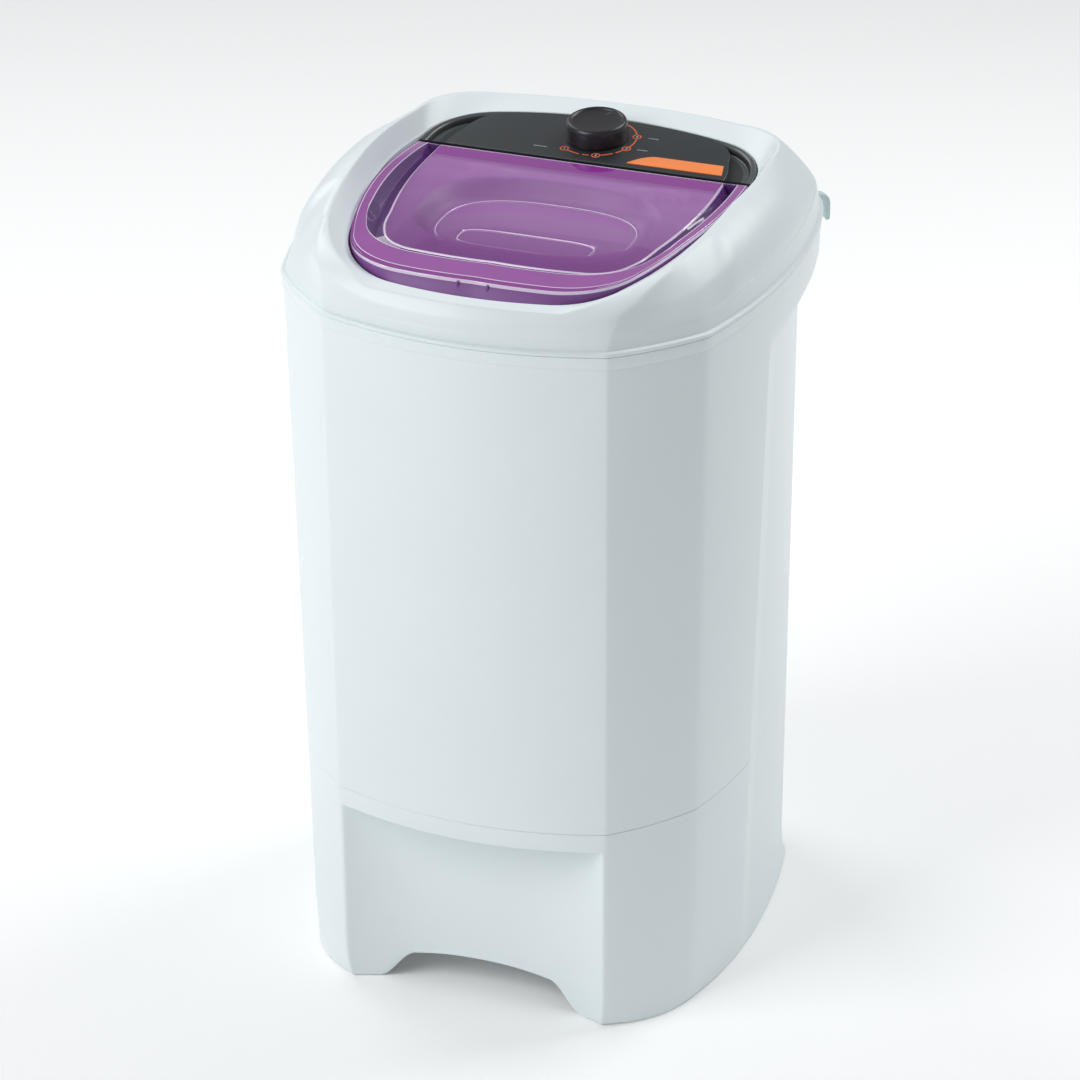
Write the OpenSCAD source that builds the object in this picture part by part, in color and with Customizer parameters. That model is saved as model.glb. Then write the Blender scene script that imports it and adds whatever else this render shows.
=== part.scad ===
// Top-loading tub washing machine: a moulded plastic body with a kick recess,
// a sloping top cover, a clear hinged lid, a control panel with one dial, and a
// round tub with a belt-driven pulsator. X is the width, the front faces -Y.

/* [Body plan] */
// Width of the body at the seam
body_w = 540; // [500:2:600]
// Depth of the body at the seam
body_d = 580; // [550:2:620]
// Width of the bowed front face between its two upright edges
front_w = 316; // [290:2:330]
// How far the front face bulges forward
front_bow = 29; // [15:1:40]
// Distance of the shoulder edges ahead of the middle
shoulder_y = 177; // [165:1:185]
// Bulge of the corner faces beside the front
chamfer_bow = 4.5; // [2:0.5:7]
// Distance of the widest line behind the middle
widest_y = 30; // [10:1:50]
// Radius of the side faces in plan
side_r = 667; // [640:1:720]
// Where the side faces end at the rear
rear_y = 180; // [165:1:190]
// Width of the back face
back_w = 332; // [310:2:350]
// How far the back corners bulge
rear_corner_bow = 17; // [12:1:20]
// Wall thickness of the mouldings
wall = 4; // [3:0.25:5]

/* [Heights] */
// Height of the seam between body and top cover
seam_z = 834; // [810:1:860]
// Height of the joint between body and base
base_h = 256; // [245:1:275]
// Height of the collar below the seam
collar_h = 14; // [8:1:20]
// How far the body stands outside the seam line
body_out = 2; // [1:0.1:3]
// How far the collar stands outside the body
collar_out = 1; // [0.5:0.1:2]
// How much the front and sides lean in from the seam to the floor
taper = 17; // [10:0.5:20]
// Share of that lean that the front edges take sideways
edge_lean = 0.1; // [0:0.05:0.5]
// Share of that lean that the shoulder edges take sideways
shoulder_lean = 0.6; // [0.4:0.05:1]
// Share of that lean that the shoulder edges take to the rear
shoulder_back = 1.2; // [0.5:0.1:1.5]

/* [Rear recess] */
// Where the side ramp starts, ahead of the middle
ramp_y = 42; // [30:1:60]
// Length of the side ramp
ramp_l = 32; // [26:1:40]
// Depth of the ramp
ramp_in = 6; // [3:0.5:10]
// Depth of the recess at the rear corner
recess_in = 21.5; // [16:0.5:24]
// Depth of the recess in the back face
back_in = 27.5; // [20:0.5:30]
// Drop from the seam to the top of the recess
recess_drop = 42; // [35:1:60]
// Height of its slanted top
recess_slant = 42; // [30:1:60]

/* [Kick recess and arch] */
// Height of the kick recess above the floor
kick_h = 233; // [200:1:240]
// Width of the strip beside the kick recess
kick_strip = 3.5; // [3:0.5:8]
// Depth of the kick recess at its middle
kick_in = 72; // [50:1:76]
// Rounding under its ceiling
kick_fillet = 20; // [10:1:30]
// Width of the arch at the floor
arch_w = 246; // [180:2:256]
// Width of the flat of the arch
arch_flat = 160; // [100:2:170]
// Height of the arch
arch_h = 41; // [25:1:60]
// Drop of the arch from its middle to the ends of its flat
arch_sag = 6; // [3:0.5:10]
// How far the bottom edge curls in
curl_in = 9; // [6:0.5:18]
// Height of that curl
curl_h = 52; // [40:1:70]
// Gap between the base and the floor
base_gap = 1; // [1:0.5:6]

/* [Top cover] */
// Height of the crest above the seam at its highest
crest_h = 83.5; // [75:0.5:90]
// Height of the front crest above the seam
crest_front_h = 41.5; // [36:0.5:46]
// Height of the rear crest above the seam
crest_rear_h = 71; // [62:0.5:76]
// How far the crest lies inside the widest line
crest_in = 53; // [48:1:60]
// Width of the flat crest line
crest_t = 4; // [3:0.5:6]
// Height of the upright skirt at the sides
skirt_h = 28; // [22:1:34]
// How far the seam bead stands out
bead_out = 4.5; // [2:0.5:6]
// Height of the seam bead
bead_h = 5; // [3:0.5:7]
// Wall thickness of the cover
cover_t = 3; // [2.5:0.25:4]
// Half width of the opening
open_half = 199; // [190:1:205]
// Height of the opening edge above the seam, at the sides
open_h = 59; // [52:1:64]
// Height of the opening edge above the seam, at the front
open_front_h = 42.5; // [38:0.5:46]
// Front edge of the opening, ahead of the middle
open_front = 257; // [245:1:262]
// Depth of the lip inside the opening
lip_h = 12; // [8:1:16]

/* [Lid] */
// Wall thickness of the lid
lid_t = 2.5; // [2:0.25:3.5]
// Gap between the lid flange and the opening at the sides
lid_gap = 5.5; // [4:0.5:8]
// Rear edge of the lid, behind the middle
lid_rear = 103; // [96:1:104]
// Height of the raised middle above the seam
lid_h = 55; // [50:0.5:60]
// Depth of the channel round the raised middle
channel_h = 10; // [6:0.5:12]
// Height of the flange above the seam, at the sides
flange_h = 62; // [60:0.5:64]
// Depth of the skirt round the lid
lid_skirt = 17; // [8:0.5:18]
// Half width of the dish in the middle of the lid
dish_w = 108; // [80:1:112]
// Half length of the dish
dish_l = 75; // [50:1:78]
// Depth of the dish
dish_h = 19; // [4:0.5:20]
// Half width of the sunk pad in the dish
pad_w = 75; // [50:1:80]
// Half length of the sunk pad
pad_l = 21; // [12:1:26]

/* [Lid hinge] */
// Height of the hinge line above the seam
hinge_h = 47; // [44:0.5:48]
// Distance of the hinge line ahead of the lid's rear edge
hinge_in = 6; // [5:0.5:8]
// Radius of the hinge pins
pin_r = 3; // [2.5:0.1:3.5]
// Running clearance of the hinge pins
pin_clear = 0.05; // [0.02:0.01:0.1]
// Distance of the hinges from the middle
hinge_x = 111; // [106:1:130]
// Width of the hinge arms
arm_w = 22; // [16:1:24]
// Length of the hinge arms under the lid
arm_l = 34; // [24:1:50]
// Thickness of the hinge ears
ear_t = 4; // [3:0.5:6]
// Side clearance of the hinge arms
ear_gap = 0.6; // [0.3:0.1:1]

/* [Control panel] */
// Gap between the lid and the panel
panel_gap = 6; // [5:0.5:8]
// Slope of the panel face in degrees
panel_tilt = 5.7; // [3:0.1:8]
// Height of the panel's front edge above the seam
panel_h = 55.5; // [52:0.5:58]
// Half width of the raised fascia
fascia_half = 164; // [150:1:170]
// Gap between the fascia and the rear edge of the opening
fascia_gap = 6; // [5:1:12]
// Height of the fascia above the side wings
fascia_step = 4; // [2:0.5:6]
// Thickness of the panel moulding
panel_t = 3; // [2:0.25:4]
// Depth of the panel's side wall
panel_wall = 10; // [6:1:14]
// Depth of the apron behind the lid
apron_h = 32; // [26:1:40]
// Thickness of the coloured strip
strip_t = 0.8; // [0.5:0.1:1.5]
// Width of the coloured strip
strip_w = 22; // [16:1:26]

/* [Dial] */
// Diameter of the knob
knob_d = 71; // [55:1:78]
// Height of the knob
knob_h = 22; // [16:1:30]
// Offset of the knob from the middle
knob_x = -4; // [-10:1:10]
// Distance of the knob behind the middle
knob_y = 168; // [160:1:176]
// Depth of the dish in its top
dish = 2.5; // [1:0.5:5]
// Gap under the knob
knob_gap = 0.6; // [0.4:0.1:2]
// Radius of the spindle
spindle_r = 3; // [2.5:0.5:4]
// Radius of the programme switch
switch_r = 27; // [20:1:28]
// Height of the programme switch
switch_h = 24; // [16:1:30]

/* [Tub] */
// Inner radius of the tub mouth
mouth_r = 190; // [170:1:192]
// Outer radius of the tub body
tub_r = 213; // [200:1:216]
// Distance of the tub axis ahead of the middle
tub_y = 40; // [30:1:46]
// Height of the tub floor
tub_z = 300; // [290:1:320]
// Wall thickness of the tub
tub_t = 3; // [2.5:0.25:4]
// How far the tub leans in to its floor
tub_taper = 14; // [5:1:25]
// Rounding of the tub floor corner
tub_round = 45; // [30:1:60]
// Height of the shoulder under the mouth
tub_neck = 34; // [25:1:45]
// Half width of the mouth below the lid
mouth_half = 155; // [140:1:160]
// Front edge of that mouth, behind the machine's middle (negative is ahead)
mouth_front = -197; // [-200:1:-180]
// Rear edge of that mouth
mouth_rear = 76; // [60:1:80]
// Drop from the deck's outer edge to the mouth
mouth_drop = 6; // [3:0.5:9]
// Depth of the collar below the mouth
mouth_h = 42; // [30:1:60]
// Radius of the drain outlet
drain_r = 15; // [10:0.5:18]
// Distance of the drain outlet from the middle
drain_x = 105; // [95:1:115]
// Distance of the drain outlet behind the middle
drain_y = 70; // [55:1:85]

/* [Pulsator and drive] */
// Radius of the pulsator
puls_r = 150; // [120:1:165]
// Height of the pulsator rim
puls_h = 10; // [8:1:16]
// Rise of the pulsator to its hub
puls_rise = 26; // [18:1:36]
// Number of vanes
vanes = 6; // [3:1:7]
// Height of the vanes
vane_h = 30; // [20:1:40]
// Thickness of the vanes
vane_t = 12; // [8:1:16]
// Gap between pulsator and tub floor
puls_gap = 3; // [2:0.5:6]
// Radius of the drive shaft
shaft_r = 8; // [6:0.5:10]
// Running clearance of shafts
shaft_clear = 0.05; // [0.02:0.01:0.1]
// Outer radius of the bushes
bush_r = 14; // [12:0.5:16]
// Length of each bush
bush_l = 14; // [10:1:16]
// Depth of the bearing housing below the tub floor
housing_h = 42; // [36:1:48]
// Radius of the driven pulley
pulley_r = 100; // [85:1:105]
// Radius of the motor pulley
drive_r = 20; // [16:1:26]
// Width of the pulleys
pulley_w = 16; // [12:1:20]
// Thickness of the belt
belt_t = 6; // [5:0.5:8]
// Distance from the tub axis to the motor axis
motor_off = 165; // [160:1:172]
// Radius of the motor
motor_r = 62; // [50:1:66]
// Height of the motor
motor_h = 112; // [90:1:130]
// Radius of the motor shaft
rotor_r = 6; // [5:0.5:8]
// Thickness of the steel support plate
plate_t = 3; // [2:0.5:4]

/* [Outlet, hook and rear cover] */
// Radius of the drain spigot
spigot_r = 13; // [10:0.5:15]
// Length of the drain spigot
spigot_l = 24; // [18:1:26]
// Height of the drain spigot
spigot_z = 112; // [100:1:125]
// Width of the rear cover
rear_w = 190; // [150:2:200]
// Height of the rear cover
rear_h = 160; // [120:2:180]
// Height of its lower edge
rear_z = 66; // [60:1:80]
// Reach of the hose hook
hook_reach = 21; // [18:1:24]
// Width of the hose hook
hook_w = 12; // [8:1:20]
// Thickness of the hose hook
hook_t = 5; // [4:0.5:7]

/* [Lint filter and feet] */
// Half width of the lint filter
filter_half = 93; // [70:1:94]
// Distance of the filter behind the middle
filter_y = 95; // [92:1:97]
// Half width of the filter pocket
pocket_half = 68; // [40:1:70]
// Depth of the filter pocket
pocket_h = 70; // [50:1:100]
// Thickness of the filter pocket
pocket_t = 14; // [10:1:16]
// Radius of the feet
foot_r = 22; // [16:1:26]
// Height of the feet
foot_h = 9; // [7:0.5:12]

/* [Hidden] */

$fn = 48;
touch = 0.3;
half_w = body_w / 2;
half_d = body_d / 2;
cover_z = seam_z + 0.3;
white = "#e3eaec";
grey_white = "#cfd6d9";
clear_purple = "#8d4fa0";
charcoal = "#3b4144";
orange = "#f58a42";
steel = "#a9adb0";
dark = "#2c2d31";
brass = "#b89a55";
rubber = "#232325";

// ---- outlines -------------------------------------------------------------
// A point on the shallow bow from a to b: s is the bulge to the right, sz the rise.
function bow(a, b, s, sz, t) = let(d = b - a, l = norm([d[0], d[1]]))
    a + d * t + 4 * t * (1 - t) * [d[1] / l * s, -d[0] / l * s, sz];
// The right half of an outline through its key points, without the last one.
function half(keys, bulge, rise, n) =
    [for (i = [0 : len(keys) - 2], j = [0 : n[i] - 1])
        bow(keys[i], keys[i + 1], bulge[i], rise[i], j / n[i])];
function flip(p) = [-p[0], p[1], p[2]];
// The closed outline: the right half from front to back, and its mirror image.
function ring(keys, bulge, rise, n) = let(
        h = concat(half(keys, bulge, rise, n), [keys[len(keys) - 1]]), m = len(h))
    concat(h, [for (i = [m - 2 : -1 : 1]) flip(h[i])]);
function flat(r) = [for (p = r) [p[0], p[1]]];

// A shell drawn through rings that run up the outside and down the inside.
module shell(rings) {
    n = len(rings[0]);
    m = len(rings);
    points = [for (r = rings, p = r) p];
    faces = [for (i = [0 : m - 1], j = [0 : n - 1])
        let(k = (j + 1) % n, u = ((i + 1) % m) * n, b = i * n)
        each [[b + j, u + j, u + k], [b + j, u + k, b + k]]];
    polyhedron(points, faces);
}

// A closed skin through rings from the lowest middle to the highest middle.
module capped(rings, low, high) {
    n = len(rings[0]);
    m = len(rings);
    points = concat([for (r = rings, p = r) p], [low, high]);
    sides = [for (i = [0 : m - 2], j = [0 : n - 1])
        let(k = (j + 1) % n, u = (i + 1) * n, b = i * n)
        each [[b + j, u + j, u + k], [b + j, u + k, b + k]]];
    caps = [for (j = [0 : n - 1]) let(k = (j + 1) % n, t = (m - 1) * n)
        each [[n * m, j, k], [n * m + 1, t + k, t + j]]];
    polyhedron(points, concat(sides, caps));
}

// ---- the body's plan --------------------------------------------------------
function side_x(y) = half_w - pow(y - widest_y, 2) / (2 * side_r);
function lean(z) = taper * max(0, seam_z - z) / seam_z;
function side_sag(y1, y2) = pow(y2 - y1, 2) / (8 * side_r);
body_n = [6, 5, 5, 5, 3, 6, 6, 5];
edge_x = front_w / 2;
shoulder_x = side_x(-shoulder_y);
front_mid = 105;
function front_y(x) = -half_d + front_bow * pow(x / edge_x, 2);
function front_sag(x1, x2) = front_bow * pow((x2 - x1) / edge_x, 2) / 4;
// Key points of the body at height z, moved in by d, with the recess drawn in by r.
function edge_at(z, d) = edge_x - d * 0.4 - lean(z) * edge_lean;
function body_keys(z, d, r) = let(l = lean(z), i = d + l, y1 = -ramp_y, y2 = -ramp_y + ramp_l) [
    [0, front_y(0) + i, z],
    [front_mid, front_y(front_mid) + i, z],
    [edge_at(z, d), front_y(edge_x) + i, z],
    [shoulder_x - d - l * shoulder_lean, -shoulder_y + d * 0.5 + l * shoulder_back, z],
    [side_x(y1) - i, y1, z],
    [side_x(y2) - i - ramp_in * r, y2, z],
    [side_x(rear_y) - (1 - r) * i - r * (d + recess_in), rear_y - r * (d + 13), z],
    [back_w / 2 - d * 0.5 - r * 11, half_d - 6 - d - r * (back_in - 6), z],
    [0, half_d - d - r * back_in, z]];
function body_bulge(r) = [front_sag(0, front_mid), front_sag(front_mid, edge_x), chamfer_bow,
    side_sag(-shoulder_y, -ramp_y), side_sag(0, ramp_l) * (1 - r),
    side_sag(-ramp_y + ramp_l, rear_y) * (1 - 0.3 * r), rear_corner_bow, 1.5 * (1 - r)];
no_rise = [0, 0, 0, 0, 0, 0, 0, 0];
function body_ring(z, d, r) = ring(body_keys(z, d, r), body_bulge(r), no_rise, body_n);

recess_top = seam_z - recess_drop;
recess_low = recess_top - recess_slant;
ledge_z = seam_z - 6;
ledge_in = wall + 9;

module cabinet() {
    c = -body_out - collar_out;
    color(white) shell([
        body_ring(base_h + touch, -body_out, 1),
        body_ring(recess_low, -body_out, 1),
        body_ring(recess_top, -body_out, 0),
        body_ring(seam_z - collar_h, -body_out, 0),
        body_ring(seam_z - collar_h + 1, c, 0),
        body_ring(seam_z, c, 0),
        body_ring(seam_z, c + wall, 0),
        body_ring(ledge_z, c + wall, 0),
        body_ring(ledge_z, ledge_in, 0),
        body_ring(ledge_z - 5, ledge_in, 0),
        body_ring(ledge_z - 14, wall - body_out, 0),
        body_ring(recess_top, wall - body_out, 0),
        body_ring(recess_low, wall - body_out, 1),
        body_ring(base_h + touch, wall - body_out, 1)]);
}

// ---- base -------------------------------------------------------------------
base_n = [22, 2, 5, 5, 3, 6, 6, 5];
kick_y = -half_d + kick_in;
// Height of the arch above the floor at x.
function arch_z(x) = let(a = abs(x), s = (arch_w - arch_flat) / 2, t = (a - arch_flat / 2) / s)
    t <= 0 ? arch_h - arch_sag * pow(a / arch_flat * 2, 2)
    : t >= 1 ? base_gap : base_gap + (arch_h - arch_sag - base_gap) * (1 + cos(180 * t)) / 2;
arch_blend = 110;
function lift(x, z) = z >= arch_blend ? z
    : arch_z(x) + (z - base_gap) * (arch_blend - arch_z(x)) / (arch_blend - base_gap);
// How far the faces lie inside the seam line at height z; c is the curl of the bottom edge.
function base_in(z, d, c) = lean(z) + d - body_out + c;
// The front of the base: f blends from the bowed face to the hollow of the kick recess.
function kick_x(z, i) = edge_at(z, i - lean(z)) - kick_strip;
function base_front(z, d, f, c) = let(i = base_in(z, d, c * curl_share[0]), e = kick_x(z, i),
        edge = front_y(e) + i)
    [for (j = [0 : base_n[0] - 1]) let(x = e * j / base_n[0],
        out = front_y(x) + i, inn = kick_y + d + (edge - kick_y - d) * pow(x / e, 3))
        [x, out + (inn - out) * f, lift(x, z)]];
// Share of the bottom curl at each key point from the front edge round to the back: the
// front corners curl in, and the sides stand upright.
curl_share = [1.1, 0.4, 0.2, -0.4, -0.4, -0.4, -0.2];
function base_keys(z, d, c) = let(i = base_in(z, d, c * curl_share[0]), e = kick_x(z, i))
    concat([[e, front_y(e) + i, z]],
        [for (j = [0 : 6]) body_keys(z, d - body_out + c * curl_share[j], 1)[j + 2]]);
function base_ring(z, d, f, c) = let(k = base_keys(z, d, c), g = body_bulge(1),
    h = concat(base_front(z, d, f, c),
        half(k, [0, g[2] + c, g[3], g[4], g[5], g[6], g[7]], no_rise, [for (i = [1 : 7]) base_n[i]]),
        [k[7]]), m = len(h))
    concat(h, [for (i = [m - 2 : -1 : 1]) flip(h[i])]);
curl_steps = [0, 0.08, 0.3, 0.62, 1];
function curl(t) = curl_in * (1 - sqrt(1 - pow(1 - t, 2)));

rear_open_w = rear_w - 30;
rear_open_h = rear_h - 30;
back_y = half_d - back_in + body_out;
back_x = -35;
spigot_x = drain_x;
module base_skirt() {
    outer = concat(
        [for (t = curl_steps) base_ring(base_gap + t * curl_h, 0, 1, curl(t))],
        [for (a = [0 : 30 : 90]) base_ring(kick_h - kick_fillet * (1 - sin(a)), 0,
            0.55 + 0.45 * cos(a), 0)],
        [base_ring(kick_h + 0.5, 0, 0, 0), base_ring(base_h, 0, 0, 0)]);
    inner = concat(
        [base_ring(base_h, wall, 0, 0), base_ring(kick_h + wall, wall, 0, 0),
        base_ring(kick_h + wall - 1, wall, 0.6, 0),
        base_ring(kick_h - kick_fillet + wall, wall, 1, 0)],
        [for (i = [4 : -1 : 0]) base_ring(base_gap + curl_steps[i] * curl_h, wall, 1,
            curl(curl_steps[i]))]);
    color(white) difference() {
        shell(concat(outer, inner));
        translate([back_x - rear_open_w / 2, back_y - 15, rear_z + 15])
            cube([rear_open_w, 30, rear_open_h]);
        translate([spigot_x, back_y - 15, spigot_z]) rotate([-90, 0, 0])
            cylinder(r = spigot_r + touch, h = 30);
    }
}

pan_z = 52;
pan_t = 4;
foot_x = 180;
foot_front = -138;
foot_back = 196;
pan_gap = 0.7;
function pan_ring() = flat(base_ring(pan_z + pan_t / 2, wall + pan_gap, 1, 0));
pan_hole = 105;
pan_screw_x = half_w - 44;
module feet_at(z) {
    for (x = [-foot_x, foot_x], y = [foot_front, foot_back]) translate([x, y, z]) children();
}
module base_pan() {
    color(grey_white) {
        difference() {
            translate([0, 0, pan_z]) linear_extrude(pan_t) polygon(pan_ring());
            translate([0, 0, pan_z - 1]) cylinder(r = pan_hole, h = pan_t + 2);
            feet_at(pan_z - 1) cylinder(r = foot_r - 8, h = pan_t + 2);
        }
        feet_at(foot_h) difference() {
            cylinder(r = foot_r + 2, h = pan_z - foot_h);
            translate([0, 0, 6]) cylinder(r = foot_r - 8, h = pan_z);
        }
    }
}
module foot_pads() {
    color(rubber) feet_at(0) rotate_extrude()
        polygon([[0, 0], [foot_r - 2, 0], [foot_r, 2], [foot_r, foot_h], [0, foot_h]]);
}
module base_screws() {
    color(steel) for (x = [-pan_screw_x, pan_screw_x], y = [-20, 80]) translate([x, y, pan_z - 3])
        cylinder(r = 5, h = 3 - 0.02);
}

// ---- top cover ----------------------------------------------------------------
cover_n = [6, 6, 5, 5, 3, 6, 6, 5];
open_side_r = 695;
crest_side_r = 996;
// Key points of a ring of the cover: half width w, side radius r, side height z.
function cover_side(y, w, y0, r) = w - pow(y - y0, 2) / (2 * r);
crest_w = half_w - crest_in;
crest_y0 = widest_y;
crest_front = half_d - 15;
open_y0 = 45;
open_rear = half_d - 69;
function crest_z(y) = cover_z + crest_h - 0.00043 * pow(y - crest_y0, 2);
function open_z(y) = cover_z + open_h - 0.00017 * pow(y - open_y0, 2);
// The crest ring, moved in by d.
function crest_ring(d) = ring([
        [0, -crest_front + d, cover_z + crest_front_h],
        [108 - d * 0.2, -crest_front + 11 + d, cover_z + crest_front_h],
        [crest_w - 33 - d, -193 + d * 0.4, crest_z(-182)],
        [cover_side(-118, crest_w, crest_y0, crest_side_r) - d, -118, crest_z(-118)],
        [cover_side(-ramp_y, crest_w, crest_y0, crest_side_r) - d, -ramp_y, crest_z(-ramp_y)],
        [cover_side(-ramp_y + ramp_l, crest_w, crest_y0, crest_side_r) - d, -ramp_y + ramp_l,
            crest_z(-ramp_y + ramp_l)],
        [crest_w - 5 - d, 140, cover_z + crest_h - 5],
        [152 - d * 0.5, 237 - d, cover_z + crest_rear_h],
        [0, half_d - 36 - d, cover_z + crest_rear_h]],
    [2, 9, 3, 1, 0, 3, 18, 4], [0, 2, 0, 0, 0, 1, 2, 0], cover_n);
// The edge of the opening, moved in by d and lowered by h.
function open_ring(d, h) = let(z = -h) ring([
        [0, -open_front + d, cover_z + open_front_h + z],
        [92 - d * 0.3, -open_front + 11 + d, cover_z + open_front_h + z],
        [open_half - 41 - d * 0.8, -191 + d * 0.5, cover_z + open_h - 7.5 + z],
        [cover_side(-135, open_half, open_y0, open_side_r) - d, -135, open_z(-135) + z],
        [cover_side(-ramp_y, open_half, open_y0, open_side_r) - d, -ramp_y, open_z(-ramp_y) + z],
        [cover_side(-ramp_y + ramp_l, open_half, open_y0, open_side_r) - d, -ramp_y + ramp_l,
            open_z(-ramp_y + ramp_l) + z],
        [open_half - 3 - d, 118, cover_z + open_h - 2 + z],
        [150 - d * 0.6, open_rear - 24 - d * 0.8, cover_z + open_h + 3 + z],
        [0, open_rear - d, cover_z + open_h + 6 + z]],
    [2.8, 7, 1, 1, 0, 6, 12, 6], [0, -3, 0, 0, 0, 0, 0, 1], cover_n);
// A ring at the cover's foot, d inside the body's plan.
function foot_ring(z, d) = ring(body_keys(z, d, 0), body_bulge(0), no_rise, cover_n);
// The skirt line climbs behind the shoulder edge; u runs from 0 to 1 along that climb.
function climb(y) = let(u = min(1, max(0, (y + shoulder_y) / 70))) u * u * (3 - 2 * u);
function skirt_ring(d) = let(f = foot_ring(cover_z, d + 1), g = foot_ring(cover_z, d + 4))
    [for (i = [0 : len(f) - 1]) let(u = climb(f[i][1]))
        f[i] + (g[i] - f[i]) * u + [0, 0, 19 + (skirt_h - 19) * u]];
// How much the shoulder swells above the straight line from the skirt to the crest, as a
// share of that line's length: most at the sides and at the edges beside the front.
function near(p, q, r) = exp(-pow(norm([abs(p[0]) - q[0], p[1] - q[1]]) / r, 2));
function fade(y) = let(u = min(1, max(0, (y - 60) / 130))) 1 - u * u * (3 - 2 * u);
function swell(p) = 0.03 + 0.1 * near(p, [edge_x, front_y(edge_x)], 42)
    + 0.03 * near(p, [shoulder_x, -shoulder_y], 50) + 0.11 * climb(p[1]) * fade(p[1]);
function outward(p) = [p[0], p[1], norm([p[0], p[1]])] / norm([p[0], p[1]]) * 0.7;
// A ring on the shoulder: t runs from the skirt a to the crest b.
function mix(a, b, t) = [for (i = [0 : len(a) - 1]) a[i] + (b[i] - a[i]) * t
    + 4 * t * (1 - t) * swell(a[i]) * norm(b[i] - a[i]) * outward(a[i])];

module top_cover() {
    c = crest_ring(0);
    s = skirt_ring(0);
    si = skirt_ring(cover_t);
    color(white) shell([
        foot_ring(cover_z, -bead_out),
        foot_ring(cover_z + bead_h - 1, -bead_out),
        foot_ring(cover_z + bead_h, -bead_out + 2),
        foot_ring(cover_z + bead_h + 0.5, 0),
        s,
        mix(s, c, 0.2),
        mix(s, c, 0.4),
        mix(s, c, 0.6),
        mix(s, c, 0.8),
        c,
        crest_ring(crest_t),
        open_ring(-2, 0),
        open_ring(0, 1),
        open_ring(0, lip_h),
        open_ring(-cover_t, lip_h),
        open_ring(-cover_t - 1, cover_t + 1),
        [for (p = crest_ring(crest_t)) p - [0, 0, cover_t]],
        [for (p = crest_ring(cover_t * 0.5)) p - [0, 0, cover_t]],
        mix(si, [for (p = crest_ring(cover_t * 0.7)) p - [0, 0, cover_t]], 0.75),
        mix(si, [for (p = crest_ring(cover_t * 0.7)) p - [0, 0, cover_t]], 0.35),
        si,
        foot_ring(cover_z + bead_h, cover_t),
        foot_ring(cover_z, cover_t)]);
}

// ---- lid ------------------------------------------------------------------------
lid_n = [6, 6, 5, 10, 3, 10];
lid_half = 40;
flange_z = cover_z + flange_h - 0.5;
lid_side = open_half - lid_gap;
lid_plate_z = cover_z + lid_h;
lid_back = lid_rear - 3;
lid_front = open_front - 22;
lid_plateau_x = 162;
lid_straight = 90;
lid_shoulder = 85;
// How far the front of the plateau and the floor of the channel lie below its rear.
front_drop = 9;
channel_drop = 14;
// How far the flange falls towards its rear corners.
rear_fall = 6.5;
// The plan of each outline of the lid: its front edge, the end of its rounded corner (x and
// distance to the front), its half width at the shoulder and at the rear, and the rounding.
plateau_front = 168;
plateau_plan = [plateau_front, 140, 131, 150.5, 165, 9.5];
channel_plan = [180, 152, 132, 162, 173, 12];
flange_plan = [186.5, 161, 131, 172.5, 181.5, 14.5];
rim_plan = [lid_front, 163, 170, lid_side - 9, lid_side, 16];
hem_plan = [lid_front + 7, 163.5, 172, lid_side - 8.5, lid_side + 0.6, 11];
// The same plan moved out by d all round.
function wider(plan, d) = [for (i = [0 : 5]) plan[i] + (i < 5 ? d : 0)];
// A ring of the lid, from its plan, heights at the front, the sides and the rear, and the
// place of the rear edge.
function lid_ring(plan, zf, zs, zr, rear, rear_z) = ring([
        [0, -plan[0], zf],
        [lid_straight, -plan[0] + 2.5, zf],
        [plan[1], -plan[2], (zf + zs) / 2 + 1],
        [plan[3], -lid_shoulder, zs],
        [plan[4], rear, zr],
        [lid_plateau_x, rear, rear_z],
        [0, rear, rear_z]],
    [2, plan[5], 1.5, 7, 0, 0], [0, 0, 0, 2, 0, 0], lid_n);
function on_plateau(r) = [for (p = r) [p[0], p[1], plateau_z(p[1])]];
// An oval of half axes a and b about y, with as many points as a lid ring; the smaller
// blunt is, the squarer are its ends.
function power(v, blunt) = sign(v) * pow(abs(v), blunt);
function oval(a, b, y, z, blunt) = let(h = [for (i = [0 : lid_half]) let(t = 180 * i / lid_half - 90)
        [a * power(cos(t), blunt), y + b * power(sin(t), blunt), z]])
    concat(h, [for (i = [lid_half - 1 : -1 : 1]) flip(h[i])]);
dish_y = -43;
dish_blunt = 0.75;
pad_ahead = 33;
pad_blunt = 0.5;
pad_sunk = 1.5;
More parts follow.
